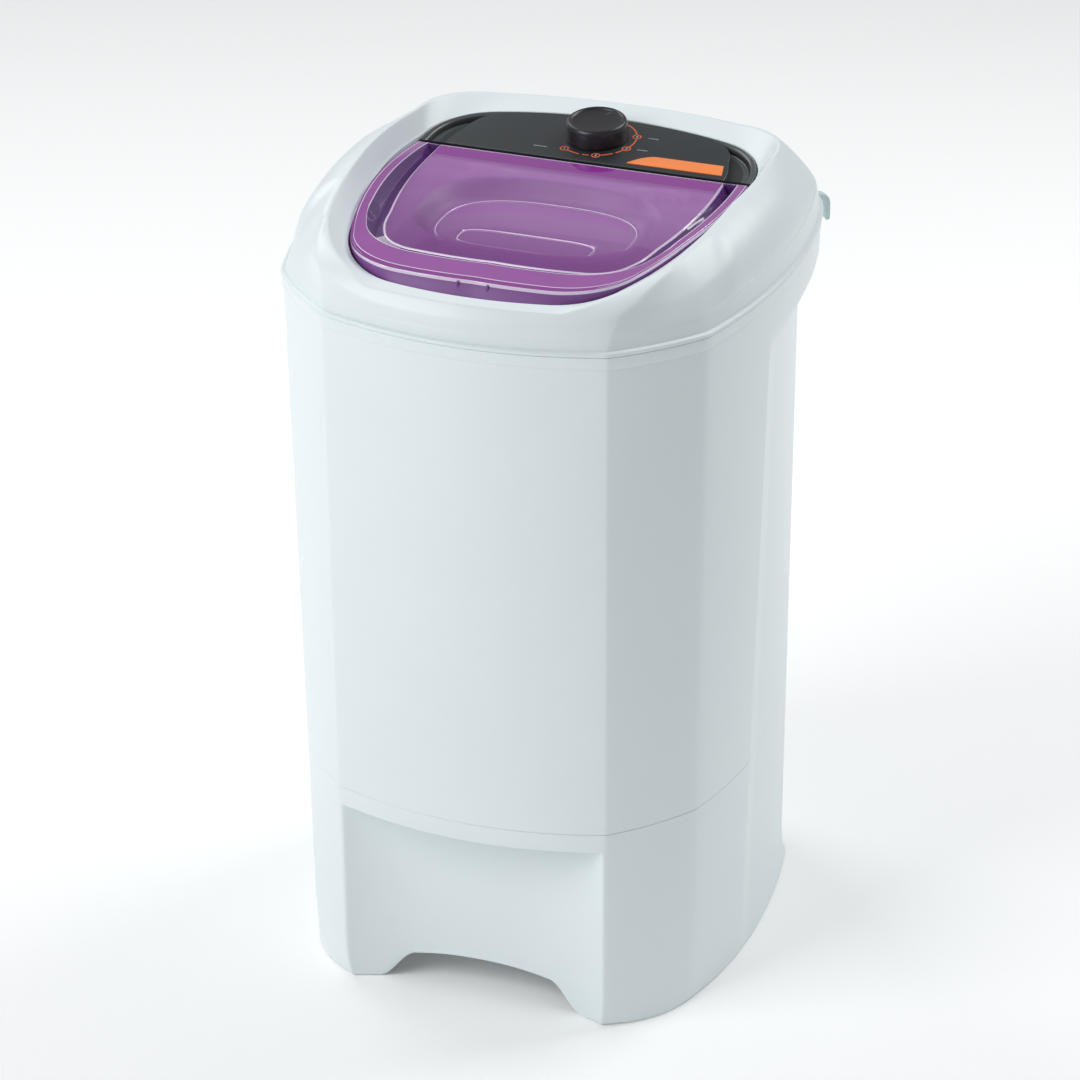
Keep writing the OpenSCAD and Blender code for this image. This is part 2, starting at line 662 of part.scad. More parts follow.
// The wall of the dish: how far each ring is widened, and its share of the way down.
dish_steps = [[1.26, 0], [1.2, 0.12], [1.13, 0.5], [1.06, 0.88], [1, 1]];
dish_floor = plateau_z(dish_y) - dish_h;
function plateau_z(y) = lid_plate_z - front_drop
    + front_drop * (y + plateau_front) / (lid_back + plateau_front);
function dish_ring(k, share) = [for (p = oval(dish_w * k, dish_l * k, dish_y, 0, dish_blunt))
    [p[0], p[1], plateau_z(p[1]) + (dish_floor - plateau_z(p[1])) * share]];
function down(r, h) = [for (p = r) p - [0, 0, h]];
module lid() {
    fz = cover_z + crest_front_h + 10;
    foot_z = lid_plate_z - channel_drop;
    channel_z = lid_plate_z - channel_h;
    corner_z = flange_z - rear_fall;
    plate = on_plateau(lid_ring(plateau_plan, 0, 0, 0, lid_back, 0));
    foot = lid_ring(channel_plan, foot_z, channel_z, foot_z, lid_back + 0.8, lid_plate_z - 0.2);
    inner = lid_ring(flange_plan, fz + 0.5, flange_z - 2, corner_z, lid_back + 1.6,
        lid_plate_z - 0.5);
    outer = lid_ring(rim_plan, fz, flange_z, corner_z, lid_back + 2.3, lid_plate_z - 0.9);
    hem = lid_ring(hem_plan, fz - lid_skirt, flange_z - lid_skirt, corner_z - lid_skirt,
        lid_back + 3, lid_plate_z - 1.4);
    hem_in = lid_ring(wider(hem_plan, -lid_t), fz - lid_skirt, flange_z - lid_skirt,
        corner_z - lid_skirt, lid_back + 2.6, lid_plate_z - 1.9);
    outer_in = down(lid_ring(wider(rim_plan, -lid_t), fz, flange_z, corner_z, lid_back + 1.8,
        lid_plate_z + 0.2), lid_t);
    inner_in = down(lid_ring(wider(flange_plan, lid_t), fz, flange_z - 2, corner_z, lid_back + 1,
        lid_plate_z + 0.1), lid_t);
    foot_in = down(lid_ring(wider(channel_plan, 0.5), foot_z, channel_z, foot_z, lid_back - 0.2,
        lid_plate_z), lid_t);
    plate_in = down(on_plateau(lid_ring(wider(plateau_plan, -1.5), 0, 0, 0, lid_back - 1, 0)),
        lid_t);
    skin = [for (q = dish_steps) dish_ring(q[0], q[1])];
    under = [for (i = [len(dish_steps) - 1 : -1 : 0])
        down(dish_ring(dish_steps[i][0] + 0.02, dish_steps[i][1]), lid_t)];
    pad_y = dish_y - pad_ahead;
    pad = [oval(pad_w + 2, pad_l + 2, pad_y, dish_floor, pad_blunt),
        oval(pad_w, pad_l, pad_y, dish_floor - pad_sunk, pad_blunt)];
    color(clear_purple, 0.75) capped(concat(under, [plate_in, foot_in, inner_in, outer_in, hem_in, hem,
        outer, inner, foot, plate], skin, pad), [0, dish_y, dish_floor - lid_t],
        [0, pad_y, dish_floor - pad_sunk]);
}

// ---- lid hinge --------------------------------------------------------------------
hinge_y = lid_rear - hinge_in;
hinge_z = cover_z + hinge_h;
lug_r = 5;
arm_half = arm_w / 2;
ear_in = arm_half + ear_gap;
arm_top = plateau_z(hinge_y - arm_l) - lid_t - touch;
module both_hinges() {
    for (x = [-hinge_x, hinge_x]) translate([x, hinge_y, hinge_z]) children();
}
module lid_hinge_arms() {
    color(clear_purple) both_hinges() {
        translate([-arm_half, -arm_l, arm_top - hinge_z - 3]) cube([arm_w, arm_l, 3]);
        rotate([0, 90, 0]) translate([0, 0, -arm_half]) cylinder(r = lug_r, h = arm_w);
        rotate([0, 90, 0]) translate([0, 0, -ear_in - ear_t]) cylinder(r = pin_r, h = 2 * (ear_in + ear_t));
    }
}
panel_y = lid_rear + panel_gap;
bracket_y = panel_y - touch - hinge_y;
bracket_low = 20;
module ear_shape() {
    difference() {
        union() {
            cylinder(r = lug_r, h = ear_t);
            translate([0, -lug_r, 0]) cube([bracket_low, 2 * lug_r, ear_t]);
        }
        translate([0, 0, -1]) cylinder(r = pin_r + pin_clear, h = ear_t + 2);
    }
}
module hinge_brackets() {
    color(white) both_hinges() {
        for (x = [-ear_in - ear_t, ear_in]) translate([x, 0, 0]) rotate([0, 90, 0]) ear_shape();
        translate([-ear_in - ear_t, -lug_r, -bracket_low])
            cube([2 * (ear_in + ear_t), bracket_y + lug_r, 8]);
    }
}
module hinge_screws() {
    color(steel) both_hinges() for (x = [-7, 7]) translate([x, -lug_r - 2.02, 4 - bracket_low])
        rotate([-90, 0, 0]) cylinder(r = 3, h = 2);
}
rest_y = -open_front + 16;
rest_top = cover_z + crest_front_h + 10 - lid_skirt;
module lid_rest_pads() {
    rest_foot = deck_z - 0.3;
    color(rubber) for (x = [-60, 60]) translate([x - 8, rest_y - 6, rest_foot])
        cube([16, 12, rest_top - rest_foot - touch]);
}

// ---- control panel -------------------------------------------------------------------
panel_n = [4, 8, 8];
fascia_rear = open_rear - fascia_gap;
function panel_keys(d) = [
    [open_half - 3.2 - d, panel_y, 0],
    [open_half - 4.2 - d, panel_y + 13, 0],
    [148.1 - d * 0.6, open_rear - 26 - d * 0.8, 0],
    [0, open_rear - 2.4 - d, 0]];
function panel_outline(d) = let(h = concat(half(panel_keys(d), [0, 11.6, 6], [0, 0, 0], panel_n),
    [panel_keys(d)[3]])) flat(concat(h, [for (i = [len(h) - 2 : -1 : 0]) flip(h[i])]));
function fascia_outline() = let(h = concat(half([[fascia_half, panel_y, 0], [fascia_half - 8, 150, 0],
    [fascia_half - 34, fascia_rear - 18, 0], [0, fascia_rear, 0]], [2, 6, 6], [0, 0, 0], panel_n),
    [[0, fascia_rear, 0]])) flat(concat(h, [for (i = [len(h) - 2 : -1 : 0]) flip(h[i])]));
panel_z = cover_z + panel_h;
// Places children on the sloping panel: its z = 0 is the face of the fascia.
module on_panel() {
    translate([0, panel_y, panel_z]) rotate([panel_tilt, 0, 0]) translate([0, -panel_y, 0]) children();
}
bush_bore = spindle_r + 4;
apron_half = open_half - 21;
module control_panel() {
    low = -fascia_step - panel_t;
    color(charcoal) {
        on_panel() difference() {
            union() {
                translate([0, 0, low]) linear_extrude(panel_t) polygon(panel_outline(0));
                translate([0, 0, low]) linear_extrude(-low) polygon(fascia_outline());
                translate([0, 0, low - panel_wall]) linear_extrude(panel_wall) difference() {
                    polygon(panel_outline(0));
                    polygon(panel_outline(panel_t));
                    translate([-half_w, panel_y - 1]) square([body_w, 4]);
                }
            }
            translate([knob_x, knob_y, low - 1]) cylinder(r = bush_bore + touch, h = 20);
        }
        translate([-apron_half, panel_y, panel_z - apron_h]) cube([2 * apron_half, panel_t, apron_h - 6]);
    }
}
strip_y = panel_y + 8;
module accent_strip() {
    color(orange) on_panel() linear_extrude(strip_t) polygon(concat(
        [[48, strip_y], [fascia_half - 5, strip_y], [fascia_half - 10, strip_y + strip_w]],
        [for (t = [0 : 0.125 : 1]) [48 + 30 * (1 - t), strip_y + strip_w * (1 - t * t) * 0.999]]));
}

// ---- dial -------------------------------------------------------------------------------
module on_dial() {
    on_panel() translate([knob_x, knob_y, 0]) children();
}
bore_r = spindle_r + 0.1;
module knob() {
    r = knob_d / 2;
    color(dark) on_dial() translate([0, 0, knob_gap]) rotate_extrude() polygon([
        [bore_r, 4], [r - 6, 4], [r - 4, 0], [r - 0.5, 0], [r, 1],
        [r - 1.5, knob_h - 3], [r - 3, knob_h - 0.8], [r - 4.5, knob_h], [r - 6.5, knob_h - 0.5],
        [r - 8.5, knob_h - dish], [0, knob_h - dish], [0, knob_h - dish - 5], [bore_r, knob_h - dish - 5]]);
}
nut_h = 3;
switch_top = -fascia_step - panel_t - touch;
module knob_spindle() {
    color(brass) on_dial() translate([0, 0, switch_top - switch_h + 3])
        cylinder(r = spindle_r, h = switch_h - 3 - switch_top + knob_gap + knob_h - dish - 6);
}
module programme_switch() {
    color(grey_white) on_dial() difference() {
        union() {
            translate([0, 0, switch_top - switch_h]) cylinder(r = switch_r, h = switch_h);
            translate([0, 0, switch_top - 1]) cylinder(r = bush_bore, h = 1 - switch_top + nut_h + 0.5);
            for (x = [-10, 0, 10]) translate([x - 3, -2, switch_top - switch_h - 8]) cube([6, 1, 9]);
        }
        translate([0, 0, switch_top - switch_h + 2])
            cylinder(r = spindle_r + shaft_clear, h = switch_h + 20);
    }
}
module switch_nut() {
    color(brass) on_dial() translate([0, 0, touch]) difference() {
        cylinder(r = bush_bore + 4, h = nut_h, $fn = 6);
        translate([0, 0, -1]) cylinder(r = bush_bore + 0.02, h = nut_h + 2);
    }
}

// ---- tub --------------------------------------------------------------------------------
flange_t = 3;
tub_top = ledge_z + flange_t;
module at_tub() {
    translate([0, -tub_y, 0]) children();
}
hole_r = 22;
// The tub's outline from its floor to its mouth: e is how far it lies inside the outside.
function tub_line(e) = concat(
    [[hole_r, tub_z + e]],
    [for (a = [0 : 15 : 90]) let(r = tub_round - e)
        [tub_r - tub_taper - tub_round + r * sin(a), tub_z + tub_round - r * cos(a)]],
    [[tub_r - e, tub_top - tub_neck - 8],
    [mouth_r + tub_t - e, tub_top - 8],
    [mouth_r + tub_t - e, tub_top]]);
function tub_outer() = tub_line(0);
function tub_inner() = tub_line(tub_t);
function reverse(v) = [for (i = [len(v) - 1 : -1 : 0]) v[i]];
module drain_at(z) {
    translate([drain_x, drain_y, z]) children();
}
// ---- splash collar round the mouth ----
deck_z = cover_z + open_front_h - lip_h - 4;
mouth_z = deck_z - mouth_drop;
collar_t = 3;
deck_rear = panel_y - touch;
function deck_ring(d, z) = ring([
        [0, -open_front - 1 + d, z],
        [92 - d * 0.3, -open_front + 10 + d, z],
        [open_half - 40 - d * 0.8, -191 + d * 0.5, z],
        [cover_side(-135, open_half + 1, open_y0, open_side_r) - d, -135, z],
        [cover_side(-90, open_half + 1, open_y0, open_side_r) - d, -90, z],
        [cover_side(-45, open_half + 1, open_y0, open_side_r) - d, -45, z],
        [open_half - d, 60, z],
        [open_half - 4 - d, deck_rear - d, z],
        [0, deck_rear - d, z]],
    [2.8, 7, 1, 1, 0, 2, 0, 0], no_rise, cover_n);
function mouth_ring(d, z) = ring([
        [0, mouth_front + d, z],
        [60, mouth_front + 7 + d, z],
        [mouth_half - 37 - d * 0.7, mouth_front + 42 + d * 0.7, z],
        [mouth_half - 7 - d, mouth_front + 97, z],
        [mouth_half - d, -60, z],
        [mouth_half - d, -20, z],
        [mouth_half - 19 - d * 0.8, mouth_rear - 38 - d * 0.6, z],
        [80, mouth_rear - 3 - d, z],
        [0, mouth_rear - d, z]],
    [1, 5, 6, 1, 0, 4, 7, 0.5], no_rise, cover_n);
module splash_collar() {
    color(white) difference() {
        shell([
            deck_ring(0, tub_top + touch),
            deck_ring(0, deck_z),
            mouth_ring(-10, mouth_z + 1.5),
            mouth_ring(0, mouth_z - 4),
            mouth_ring(0, mouth_z - mouth_h),
            mouth_ring(-collar_t, mouth_z - mouth_h),
            mouth_ring(-collar_t, mouth_z - 5),
            mouth_ring(-10, mouth_z + 1.5 - collar_t),
            deck_ring(collar_t, deck_z - collar_t),
            deck_ring(collar_t, tub_top + touch)]);
        translate([-pocket_half - 2, filter_y - pocket_t / 2 - 2, mouth_z - 20])
            cube([2 * pocket_half + 4, pocket_t + 4, 40]);
    }
}
deck_slope = 0.85;
module collar_screws() {
    color(steel) for (x = [-180, 180], y = [-60, 60])
        translate([x, y, deck_z - deck_slope]) cylinder(r = 4, h = 2.5);
}

screw_spots = [[256, -60], [253, 120], [-253, 120], [-256, -60]];
module wash_tub() {
    color(grey_white) difference() {
        union() {
            at_tub() rotate_extrude() polygon(concat(tub_outer(), reverse(tub_inner())));
            difference() {
                translate([0, 0, ledge_z]) linear_extrude(flange_t)
                    polygon(flat(body_ring(seam_z, wall - body_out, 0)));
                at_tub() translate([0, 0, ledge_z - 1]) cylinder(r = mouth_r + tub_t - 1, h = flange_t + 2);
            }
        }
        drain_at(tub_z - 5) cylinder(r = drain_r - tub_t, h = tub_round);
    }
}
module tub_screws() {
    color(steel) for (p = screw_spots) translate([p[0], p[1], tub_top + touch]) cylinder(r = 5, h = 3);
}

// ---- pulsator -------------------------------------------------------------------------------
puls_z = tub_z + tub_t + puls_gap;
puls_hub = 26;
puls_top = puls_z + puls_rise;
module pulsator() {
    color(white) at_tub() difference() {
        union() {
            translate([0, 0, puls_z]) rotate_extrude() polygon([[0, 0], [puls_hub, 0], [puls_hub, 2],
                [puls_r - 8, 2], [puls_r - 5, 0], [puls_r, 0], [puls_r, puls_h - 4], [puls_r - 4, puls_h],
                [puls_r * 0.55, puls_h + 4], [puls_hub + 14, puls_rise - 4],
                [puls_hub, puls_rise], [0, puls_rise]]);
            for (i = [0 : vanes - 1]) rotate([0, 0, i * 360 / vanes]) translate([0, vane_t / 2, puls_z])
                rotate([90, 0, 0]) linear_extrude(vane_t) polygon([[puls_hub - 8, 2.5], [puls_r - 10, 2.5],
                    [puls_r - 10, puls_h + 6], [puls_r - 22, puls_h + 16], [puls_r * 0.6, vane_h + 4],
                    [puls_hub + 16, vane_h + 2], [puls_hub - 8, puls_rise]]);
        }
        translate([0, 0, puls_z - 1]) cylinder(r = shaft_r + 0.01, h = puls_rise - 7);
        translate([0, 0, puls_z + puls_rise - 9]) cylinder(r = 4.2, h = 20);
        translate([0, 0, puls_top - 5]) cylinder(r = 14, h = 40);
    }
}
module pulsator_screw() {
    color(steel) at_tub() {
        translate([0, 0, puls_top - 5 + touch]) cylinder(r = 8, h = 2.2);
        translate([0, 0, puls_top - 8.5]) cylinder(r = 4, h = 4);
    }
}
module pulsator_cap() {
    color(clear_purple) at_tub() translate([0, 0, puls_top - 1.8]) rotate_extrude()
        polygon([[0, 0], [13.7, 0], [13.7, 3.5], [10, 6.5], [0, 8]]);
}

// ---- drive -----------------------------------------------------------------------------------
shaft_top = puls_top - 8.5 - touch;
housing_low = tub_z - housing_h;
pulley_z = housing_low - 6 - pulley_w;
shaft_low = pulley_z - 8;
module drive_shaft() {
    color(steel) at_tub() {
        translate([0, 0, shaft_low]) cylinder(r = shaft_r, h = shaft_top - shaft_low);
    }
}
module bearing_housing() {
    color("#8c9196") at_tub() difference() {
        union() {
            translate([0, 0, housing_low]) cylinder(r = bush_r + 7, h = housing_h + tub_t);
            translate([0, 0, tub_z - 6 - touch]) cylinder(r = 52, h = 6);
            for (a = [0 : 60 : 300]) rotate([0, 0, a]) translate([bush_r, -2, tub_z - 24])
                cube([26, 4, 20]);
        }
        translate([0, 0, housing_low - 1]) cylinder(r = bush_r, h = housing_h + tub_t + 2);
        for (a = [30 : 60 : 330]) rotate([0, 0, a]) translate([43, 0, tub_z - 12]) cylinder(r = 2.6, h = 20);
    }
}
module housing_screws() {
    color(steel) at_tub() for (a = [30 : 60 : 330]) rotate([0, 0, a])
        translate([43, 0, tub_z - 6 - touch - 3]) {
            cylinder(r = 4.5, h = 3 - 0.01);
            cylinder(r = 2.4, h = 8);
        }
}
module bush(z) {
    at_tub() translate([0, 0, z]) difference() {
        cylinder(r = bush_r - 0.01, h = bush_l);
        translate([0, 0, -1]) cylinder(r = shaft_r + shaft_clear, h = bush_l + 2);
    }
}
seal_h = 6;
module shaft_bushes() {
    color(brass) {
        bush(housing_low);
        bush(tub_z + tub_t - seal_h - 1 - bush_l);
    }
}
module shaft_seal() {
    color(rubber) at_tub() translate([0, 0, tub_z + tub_t - seal_h]) difference() {
        cylinder(r = bush_r - 0.05, h = seal_h - 0.2);
        translate([0, 0, -1]) cylinder(r = shaft_r + shaft_clear, h = seal_h + 2);
    }
}
// A grooved pulley of outer radius r and bore b, from its lower face up.
module pulley_wheel(r, b, rim) {
    groove = belt_t * 0.9;
    rotate_extrude() polygon([[b, 0], [b + 12, 0], [b + 12, pulley_w * 0.35], [r - rim, pulley_w * 0.35],
        [r - rim, 0], [r, 0], [r, 3], [r - groove, 5], [r - groove, pulley_w - 5], [r, pulley_w - 3],
        [r, pulley_w], [r - rim, pulley_w], [r - rim, pulley_w * 0.65], [b + 12, pulley_w * 0.65],
        [b + 12, pulley_w], [b, pulley_w]]);
}
module driven_pulley() {
    color("#8c9196") at_tub() translate([0, 0, pulley_z]) difference() {
        pulley_wheel(pulley_r, shaft_r + 0.01, 12);
        for (a = [0 : 60 : 300]) rotate([0, 0, a]) translate([54, 0, -1]) cylinder(r = 16, h = pulley_w + 2);
    }
}
module pulley_nut() {
    color(steel) at_tub() translate([0, 0, pulley_z - 7]) difference() {
        cylinder(r = 13, h = 6.7, $fn = 6);
        translate([0, 0, -1]) cylinder(r = shaft_r + 0.01, h = 9);
    }
}
motor_y = -tub_y + motor_off;
module at_motor() {
    translate([0, motor_y, 0]) children();
}
// The belt: a band round both pulleys, standing just clear of their grooves.
belt_in1 = pulley_r - belt_t * 0.9 + touch;
belt_in2 = drive_r - belt_t * 0.9 + touch;
belt_a = asin((belt_in1 - belt_in2) / motor_off);
function belt_loop(e) = concat(
    [for (a = [180 - belt_a : 7.5 : 360 + belt_a]) (belt_in1 + e) * [cos(a), sin(a)] + [0, -tub_y]],
    [(belt_in1 + e) * [cos(belt_a), sin(belt_a)] + [0, -tub_y]],
    [for (a = [belt_a : 10 : 180 - belt_a]) (belt_in2 + e) * [cos(a), sin(a)] + [0, motor_y]],
    [(belt_in2 + e) * [cos(180 - belt_a), sin(180 - belt_a)] + [0, motor_y]]);
module drive_belt() {
    color(rubber) translate([0, 0, pulley_z + 5.5]) linear_extrude(pulley_w - 11) difference() {
        polygon(belt_loop(belt_t));
        polygon(belt_loop(0));
    }
}
plate_z = pulley_z - 14;
motor_top = plate_z - touch;
module motor() {
    color("#70757a") at_motor() difference() {
        union() {
            translate([0, 0, motor_top - motor_h]) rotate_extrude() polygon([[0, 0], [motor_r - 16, 0],
                [motor_r - 6, 10], [motor_r - 6, 30], [motor_r, 32], [motor_r, motor_h - 32],
                [motor_r - 6, motor_h - 30], [motor_r - 6, motor_h - 10], [motor_r - 14, motor_h],
                [0, motor_h]]);
            for (a = [45 : 90 : 315]) rotate([0, 0, a]) translate([motor_r - 8, -8, motor_top - 12])
                cube([20, 16, 12]);
        }
        translate([0, 0, motor_top - motor_h + 8]) cylinder(r = rotor_r + shaft_clear, h = motor_h);
    }
}
module motor_shaft() {
    color(steel) at_motor() translate([0, 0, motor_top - motor_h + 10])
        cylinder(r = rotor_r, h = motor_h - 10 + 14 + pulley_w + 4);
}
module motor_pulley() {
    color("#8c9196") at_motor() translate([0, 0, pulley_z]) rotate_extrude() polygon([
        [rotor_r + 0.01, 0], [drive_r, 0], [drive_r, 3], [drive_r - belt_t * 0.9, 5],
        [drive_r - belt_t * 0.9, pulley_w - 5], [drive_r, pulley_w - 3], [drive_r, pulley_w],
        [rotor_r + 0.01, pulley_w]]);
}
bolt_r = motor_r + 6;
module motor_bolts() {
    color(steel) at_motor() for (a = [45 : 90 : 315])
        rotate([0, 0, a]) translate([bolt_r, 0, plate_z + plate_t + 0.02])
        cylinder(r = 5, h = 4);
}
post_x = 122;
post_spots = [[post_x, -tub_y - 62], [-post_x, -tub_y - 62], [post_x, -tub_y + 62], [-post_x, -tub_y + 62]];
module support_plate() {
    color(steel) difference() {
        translate([0, 0, plate_z]) linear_extrude(plate_t) polygon([[-post_x - 14, -tub_y - 76],
            [post_x + 14, -tub_y - 76], [post_x + 14, -tub_y + 76], [motor_r + 18, -tub_y + 76],
            [motor_r + 18, motor_y + motor_r + 2], [-motor_r - 18, motor_y + motor_r + 2],
            [-motor_r - 18, -tub_y + 76], [-post_x - 14, -tub_y + 76]]);
        at_motor() translate([0, 0, plate_z - 1]) cylinder(r = rotor_r + 6, h = plate_t + 2);
        at_tub() translate([0, 0, plate_z - 1]) cylinder(r = 40, h = plate_t + 2);
    }
}
module support_posts() {
    color(grey_white) for (p = post_spots) translate([p[0], p[1], plate_z + plate_t + touch])
        cylinder(r = 9, h = tub_z - touch - plate_z - plate_t - touch);
}
cap_r = 20;
cap_x = -110;
module run_capacitor() {
    color(grey_white) translate([cap_x, -tub_y, plate_z - touch - 74]) {
        cylinder(r = cap_r, h = 66);
        for (x = [-7, 7]) translate([x - 2.5, -0.5, 65]) cube([5, 1, 8]);
    }
}
module capacitor_clamp() {
    color(steel) translate([cap_x, -tub_y, plate_z - touch - 50]) {
        difference() {
            cylinder(r = cap_r + 2, h = 16);
            translate([0, 0, -1]) cylinder(r = cap_r + 0.02, h = 18);
        }
        translate([-cap_r - 3.6, -8, 0]) cube([2, 16, 50 - 0.02]);
    }
}

// ---- drain -------------------------------------------------------------------------------------
bend_r = 36;
pipe_top = tub_z - touch;
wall_in = back_y - wall;
pipe_end = wall_in - 8;
module drain_pipe() {
    color(grey_white) difference() {
        union() {
            drain_at(spigot_z + bend_r) cylinder(r = drain_r, h = pipe_top - spigot_z - bend_r);
            translate([drain_x, drain_y + bend_r, spigot_z + bend_r]) rotate([0, 90, 0]) rotate([0, 0, -90])
                rotate_extrude(angle = 90) translate([bend_r, 0]) circle(r = drain_r);
            translate([drain_x, drain_y + bend_r, spigot_z]) rotate([-90, 0, 0])
                cylinder(r = drain_r, h = pipe_end - drain_y - bend_r);
            drain_at(pipe_top - 5) cylinder(r = drain_r + 9, h = 5);
        }
        drain_at(pipe_top - 30) cylinder(r = drain_r - tub_t, h = 40);
        translate([drain_x, pipe_end - 30, spigot_z]) rotate([-90, 0, 0])
            cylinder(r = drain_r - tub_t, h = 40);
    }
}
module drain_gasket() {
    color(rubber) translate([spigot_x, wall_in - 3, spigot_z]) rotate([-90, 0, 0]) difference() {
        cylinder(r = spigot_r + 8, h = 3 - 0.3);
        translate([0, 0, -1]) cylinder(r = spigot_r + touch, h = 6);
    }
}
module drain_spigot() {
    color(grey_white) translate([spigot_x, 0, spigot_z]) rotate([-90, 0, 0]) difference() {
        union() {
            translate([0, 0, pipe_end + touch])
                cylinder(r = spigot_r, h = back_y + spigot_l - pipe_end - touch);
            translate([0, 0, back_y + touch]) cylinder(r = spigot_r + 7, h = 3);
            translate([0, 0, pipe_end + touch]) cylinder(r = spigot_r + 6, h = 4);
        }
        translate([0, 0, pipe_end - 1]) cylinder(r = spigot_r - 3, h = 80);
    }
}

// ---- rear cover --------------------------------------------------------------------------------
cover_y = back_y + touch;
rear_t = 2.5;
gland_x = back_x + 62;
gland_z = rear_z + rear_h - 44;
gland_r = 6;
slots = 7;
module rear_cover() {
    color(grey_white) difference() {
        translate([back_x - rear_w / 2, cover_y, rear_z]) cube([rear_w, rear_t, rear_h]);
        for (i = [0 : slots - 1]) translate([back_x - 60, cover_y - 1, rear_z + 24 + i * 12])
            cube([80, rear_t + 2, 5]);
        translate([gland_x, cover_y - 1, gland_z]) rotate([-90, 0, 0]) cylinder(r = gland_r + 0.05, h = 10);
    }
}
module rear_cover_screws() {
    color(steel) for (x = [-1, 1], z = [0, 1]) translate([back_x + x * (rear_w / 2 - 8),
        cover_y + rear_t + 0.02, rear_z + 8 + z * (rear_h - 16)]) rotate([-90, 0, 0])
            cylinder(r = 4, h = 2.5);
}
module cable_gland() {
    color(rubber) translate([gland_x, 0, gland_z]) rotate([-90, 0, 0]) difference() {
        union() {
            translate([0, 0, cover_y - 8]) cylinder(r = gland_r, h = rear_t + 16);
            translate([0, 0, cover_y + rear_t + 0.02]) cylinder(r = gland_r + 4, h = 5);
            translate([0, 0, cover_y - 8]) cylinder(r = gland_r + 3, h = 7.9);
        }
        translate([0, 0, cover_y - 10]) cylinder(r = 3.6, h = 60);
    }
}

// ---- lint filter ----------------------------------------------------------------------------------
shelf_z = deck_z + 3;
shelf_t = 3;
shelf_x = filter_half - 9;
module filter_holder() {
    color(white) for (s = [-1, 1]) translate([s * shelf_x, 0, shelf_z]) {
        translate([-8, filter_y - 8, 0]) cube([16, deck_rear - filter_y + 8, shelf_t]);
        translate([-8, deck_rear - 3, 0]) cube([16, 3, 5]);
        translate([-8, filter_y - 8, 0]) cube([16, 2, 6]);
    }
}
frame_z = shelf_z + shelf_t + touch;
module filter_frame() {
    color(white) difference() {
        translate([-filter_half, filter_y - 5.5, frame_z]) cube([2 * filter_half, 11, 5]);
        translate([-pocket_half + 3, filter_y - 3.5, frame_z - 1]) cube([2 * pocket_half - 6, 7, 7]);
    }
}
module filter_pocket() {
    color(grey_white)
    translate([-pocket_half, filter_y - pocket_t / 2, frame_z - pocket_h - touch]) difference() {
        cube([2 * pocket_half, pocket_t, pocket_h]);
        translate([2, 2, 3]) cube([2 * pocket_half - 4, pocket_t - 4, pocket_h]);
    }
}

// ---- hose hook --------------------------------------------------------------------------------------
hook_at = [half_w - 45, half_d - 45.4];
hook_turn = 40;
hook_top = seam_z - 2;
hook_h = 36;
module hose_hook() {
    o = hook_reach;
    color("#d6e4e6") translate([hook_at[0], hook_at[1], hook_top]) rotate([0, 0, hook_turn])
        translate([0, hook_w / 2, 0]) rotate([90, 0, 0]) linear_extrude(hook_w) polygon([[touch, 0],
            [o - 6, -4], [o - 1, -9], [o, -14], [o, -34], [o - hook_t, -34], [o - hook_t, -16],
            [o - hook_t - 2, -11], [touch + 3, -7], [touch + 3, -hook_h], [touch, -hook_h]]);
}
module hook_screws() {
    color(steel) translate([hook_at[0], hook_at[1], hook_top - hook_h + 6]) rotate([0, 0, hook_turn])
        translate([touch + 3.02, 0, 0]) rotate([0, 90, 0]) cylinder(r = 3, h = 1.8);
}

cabinet();
base_skirt();
base_pan();
foot_pads();
top_cover();
lid();
lid_hinge_arms();
hinge_brackets();
hinge_screws();
lid_rest_pads();
control_panel();
accent_strip();
knob();
knob_spindle();
programme_switch();
switch_nut();
wash_tub();
tub_screws();
splash_collar();
collar_screws();
pulsator();
pulsator_screw();
pulsator_cap();
drive_shaft();
shaft_seal();
bearing_housing();
shaft_bushes();
housing_screws();
driven_pulley();
pulley_nut();
drive_belt();
motor();
motor_shaft();
motor_pulley();
motor_bolts();
support_plate();
support_posts();
run_capacitor();
capacitor_clamp();
drain_pipe();
drain_gasket();
drain_spigot();
rear_cover();
rear_cover_screws();
cable_gland();
filter_holder();
filter_frame();
filter_pocket();
hose_hook();
hook_screws();
base_screws();
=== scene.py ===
"""A top-loading tub washing machine, dressed over its CAD frame.

Sizes are in millimetres and are made metres when a mesh is finished. X is the width, the
front faces -Y and the machine stands on Z = 0.
"""
import math

import bmesh
import bpy
import numpy as np
from mathutils import Matrix, Vector


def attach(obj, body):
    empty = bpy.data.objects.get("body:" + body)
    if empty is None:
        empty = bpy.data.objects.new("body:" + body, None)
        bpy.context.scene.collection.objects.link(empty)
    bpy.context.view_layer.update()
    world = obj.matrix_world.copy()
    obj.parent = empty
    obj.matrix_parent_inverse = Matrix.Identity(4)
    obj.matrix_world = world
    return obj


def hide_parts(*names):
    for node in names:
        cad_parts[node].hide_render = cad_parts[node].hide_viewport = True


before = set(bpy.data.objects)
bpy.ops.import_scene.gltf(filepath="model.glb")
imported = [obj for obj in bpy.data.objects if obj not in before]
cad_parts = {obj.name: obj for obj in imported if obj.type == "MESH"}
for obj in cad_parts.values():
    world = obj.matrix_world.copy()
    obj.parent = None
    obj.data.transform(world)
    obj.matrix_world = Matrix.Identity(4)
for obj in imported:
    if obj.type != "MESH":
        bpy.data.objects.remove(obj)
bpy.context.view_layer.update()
scene = bpy.context.scene

METRES = 0.001

